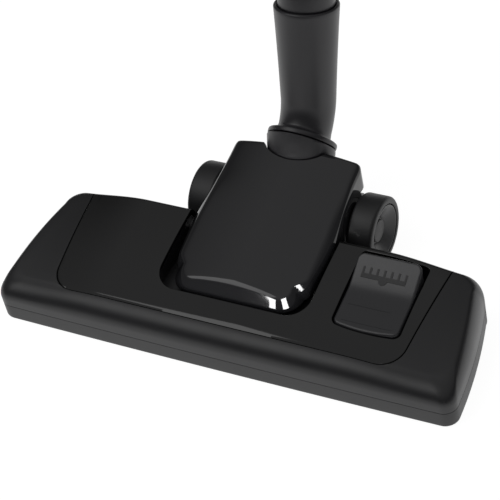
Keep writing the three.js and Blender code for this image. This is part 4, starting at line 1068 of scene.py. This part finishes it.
def brush_mark():
    """The mark of a brush on the rear tread: a bar, a row of teeth behind it and a round knob before it."""
    bar = tread_strip("brush_mark_bar", (-14, 12), (5.4, 7.6), MARK)
    for i, u in enumerate(np.linspace(*MARK_SPAN, TEETH)):
        join_visible(bar, tread_strip(f"mark_tooth_{i}", (u, u + TOOTH_WIDTH), (7.0, 10.8), MARK))
    turn = np.linspace(np.pi, 2 * np.pi, 20)
    knob = np.column_stack([PEDAL_X - 1 + KNOB_R * np.cos(turn), CREASE + 5.8 + KNOB_R * np.sin(turn)])
    join_visible(bar, on_tread("mark_knob", knob, MARK))
    return bar

# %% [markdown]
# ## The pedal itself
#
# The rocker is an open shell on a round bearing. The plate is cut from below twice: once for the space
# under it, and once for the hollow inside its walls.

# %% The pedal
def pedal():
    """A plate under the treads, hollowed from below, with a bearing for the pin, two lines and the mark."""
    body = plate("pedal_skin", pedal_outline, pedal_height, 18, 1.3, shrink=60)
    low = PIN_Z - 5.5
    under = [(-30, 0), (60, 0), (60, 32), (PEDAL_REAR - 3, 31), (CREASE, low), (-30, low)]
    cut(body, side_prism("underside", under, 40, 120))
    inside = plate(
        "inside", lambda g: pedal_outline(g - 2), lambda x, y: pedal_height(x, y) - PEDAL_WALL, 0, 0.6
    )
    cut(body, inside)
    left, right = PEDAL_X - PEDAL_HALF + 1.5, PEDAL_X + PEDAL_HALF - 1.5
    bearing = turned_rings([(2.1, left), (4, left), (4, right), (2.1, right)], CREASE, PIN_Z, 48)
    join(body, skin("bearing", bearing, closed=True))
    hole = turned_rings([(PIN_HOLE_R, PEDAL_X - 30), (PIN_HOLE_R, PEDAL_X + 30)], CREASE, PIN_Z, 48)
    cut(body, skin("pin_hole", hole))
    settle(body, "pedal", "satin_plastic", PEDAL, "pedal", crease=35)
    tread_strip("tread_line_middle", (-14.6, 9.8), (-11.0, -10.5), PEDAL, lift_by=0.18)
    tread_strip("tread_line_front", (-14.4, 14.4), (-21.4, -20.9), PEDAL, lift_by=0.18)
    brush_mark()


pedal()

# %% [markdown]
# ## Bristle strips
#
# Each strip is a spine with two rows of tufts. Bristles could be hair, but real filaments of plastic are
# thick enough to be seen one by one. A tuft is a ring of tapered filaments that spread a little towards
# their tips.

# %% Bristle strips
STRIP_TOP, STRIP_TIP, SPINE_LOW = 7.85, 0.65, 4.6
TUFT_PITCH, ROW_HALF, TUFT_R = 2.4, 0.85, 0.5
FILAMENTS, SIDES = 7, 5
ROOT_R, TIP_R, SPREAD, JITTER = 0.2, 0.13, 0.18, 0.14
SEED = 7


def directions(count):
    """Unit vectors at even angles round a circle."""
    angle = np.arange(count) * 2 * np.pi / count
    return np.column_stack([np.cos(angle), np.sin(angle)])


def tufts(name, x0, x1, y):
    """Two rows of tufts, each a ring of closed filaments: a root ring inside the spine and a smaller tip
    ring, moved out by SPREAD and by a seeded jitter."""
    chance = np.random.default_rng(SEED)
    count = int((x1 - x0 - 2 * TUFT_R) / TUFT_PITCH)
    along = np.linspace(x0 + 1.2, x1 - 1.2, count)
    centres = np.array([(x, y + row) for row in (-ROW_HALF, ROW_HALF) for x in along])
    ring = directions(FILAMENTS)
    roots = (centres[:, None] + ring * TUFT_R).reshape(-1, 2)
    tips = roots + np.tile(ring * SPREAD, (len(centres), 1)) + chance.uniform(-JITTER, JITTER, roots.shape)
    corners = directions(SIDES)
    tip_height = np.full((len(tips), SIDES, 1), STRIP_TIP)
    root_height = np.full((len(roots), SIDES, 1), SPINE_LOW + 0.4)
    low = np.concatenate([tips[:, None] + corners * TIP_R, tip_height], axis=2)
    high = np.concatenate([roots[:, None] + corners * ROOT_R, root_height], axis=2)
    points = np.concatenate([low, high], axis=1).reshape(-1, 3)
    bottom = np.arange(0, len(points), 2 * SIDES)[:, None] + np.arange(SIDES)
    top = bottom + SIDES
    sides = np.stack([bottom, np.roll(bottom, -1, 1), np.roll(top, -1, 1), top], -1).reshape(-1, 4)
    return object_from(name, points, bottom[:, ::-1].tolist() + top.tolist() + sides.tolist())


def bristle_strip(name, x0, x1, y, node):
    """A spine with its tufts, which rides on the carrier."""
    spine = block(name, (x0, y - STRIP_HALF, SPINE_LOW), (x1, y + STRIP_HALF, STRIP_TOP))
    join_visible(spine, tufts(name + "_tufts", x0, x1, y))
    settle(spine, "brush_carrier", "bristle", BRISTLE, node)


REAR_IN = REAR_STRIP_IN + 1
bristle_strip("bristles_front", -STRIP_END, STRIP_END, FRONT_STRIP, "bristle_strip_front")
bristle_strip("bristles_rear_left", -STRIP_END, -REAR_IN, REAR_STRIP, "bristle_strip_rear_left")
bristle_strip("bristles_rear_right", REAR_IN, STRIP_END, REAR_STRIP, "bristle_strip_rear_right")

# %% [markdown]
# ## Parts that keep their first shape
#
# The sole, the duct, the barrel and the small fittings show little, and their first shape is already
# theirs. They take a finish and nothing else.

# %% Plain parts
def plain_parts():
    """Gives the parts that show only from below or inside their finish."""
    finishes = {
        "sole_plate": SOLE, "air_duct": INNER, "duct_seal": SEAL, "brush_carrier": INNER,
        "tilt_barrel": INNER, "barrel_end_left": INNER, "barrel_end_right": INNER, "pedal_pin": ZINC,
        "carrier_spring_left": ZINC, "carrier_spring_right": ZINC,
        "lint_strip_left": LINT, "lint_strip_right": LINT,
    }
    finishes.update({f"base_screw_{i}": ZINC for i in range(1, 7)})
    for name, material in finishes.items():
        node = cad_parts[name]
        node.data.materials.clear()
        node.data.materials.append(material)
    print(len(finishes), "plain parts have a finish")


plain_parts()

# %% [markdown]
# ## Floor and world
#
# Goods like this are usually shown on pure white. A floor that glows almost by itself stays white, and a
# world that is dim near the horizon and brighter overhead keeps the black plastic dark at its sides.

# %% Floor and world
def studio_floor():
    """A white floor that glows almost as brightly as it looks, so that shadows stay faint."""
    bpy.ops.mesh.primitive_plane_add(size=6, location=(0, 0, -0.0002))
    floor = bpy.context.object
    floor.name = "studio_floor"
    paint = bpy.data.materials.new("floor_paint")
    paint.use_nodes = True
    shader = paint.node_tree.nodes["Principled BSDF"]
    shader.inputs["Base Color"].default_value = (0.2, 0.2, 0.2, 1)
    shader.inputs["Roughness"].default_value = 0.9
    shader.inputs["Emission Color"].default_value = (1, 1, 1, 1)
    shader.inputs["Emission Strength"].default_value = 0.94
    floor.data.materials.append(paint)


def studio_world():
    """A white world whose strength climbs with height, and which is plain white behind the object."""
    world = bpy.data.worlds.new("studio_world")
    world.use_nodes = True
    nodes, links = world.node_tree.nodes, world.node_tree.links
    sky = nodes["Background"]
    place = nodes.new("ShaderNodeTexCoord")
    split = nodes.new("ShaderNodeSeparateXYZ")
    climb = nodes.new("ShaderNodeMapRange")
    climb.inputs["From Min"].default_value = 0.5
    climb.inputs["From Max"].default_value = 0.88
    climb.inputs["To Min"].default_value = 0.1
    climb.inputs["To Max"].default_value = 0.46
    links.new(place.outputs["Generated"], split.inputs["Vector"])
    links.new(split.outputs["Z"], climb.inputs["Value"])
    links.new(climb.outputs["Result"], sky.inputs["Strength"])
    seen = nodes.new("ShaderNodeBackground")
    seen.inputs["Strength"].default_value = 1
    path = nodes.new("ShaderNodeLightPath")
    choose = nodes.new("ShaderNodeMixShader")
    links.new(path.outputs["Is Camera Ray"], choose.inputs[0])
    links.new(sky.outputs["Background"], choose.inputs[1])
    links.new(seen.outputs["Background"], choose.inputs[2])
    links.new(choose.outputs["Shader"], nodes["World Output"].inputs["Surface"])
    for background in (sky, seen):
        background.inputs["Color"].default_value = (1, 1, 1, 1)
    bpy.context.scene.world = world
    bpy.context.scene.view_settings.view_transform = "Standard"


studio_floor()
studio_world()

# %% [markdown]
# ## Lights
#
# Polished plastic shows its lights as shapes, so their size and place matter more than their power. One
# wide softbox gives the long soft highlight on the roll, and two more lights are linked to the hood
# alone, where they leave two bright marks on its front corner.

# %% Lights
def softbox(name, direction, distance, size, watts):
    """A rectangular area light at a distance along a direction from the aim, turned towards it."""
    toward = Vector(direction).normalized()
    data = bpy.data.lights.new(name, "AREA")
    data.shape = "RECTANGLE"
    data.size, data.size_y = size
    data.energy = watts
    lamp = bpy.data.objects.new(name, data)
    bpy.context.collection.objects.link(lamp)
    lamp.location = Vector(AIM) + toward * distance
    lamp.rotation_euler = toward.to_track_quat("Z", "Y").to_euler()
    return lamp


def hood_lights():
    """Two lights that only the hood receives: two bright marks on its front corner."""
    hood_only = bpy.data.collections.new("lit_by_hood_lights")
    hood_only.objects.link(bpy.data.objects["hood_skin"])
    for name, direction in (("hood_light_left", (-0.18, -0.92, 0.335)),
                            ("hood_light_right", (0.633, -0.661, 0.403))):
        lamp = softbox(name, direction, 1.3, (0.5, 0.9), 38)
        lamp.light_linking.receiver_collection = hood_only


softbox("front_softbox", (-0.42, -0.34, 0.857), 1.4, (1.0, 0.8), 4.0)
hood_lights()
print(len(bpy.data.lights), "lights")
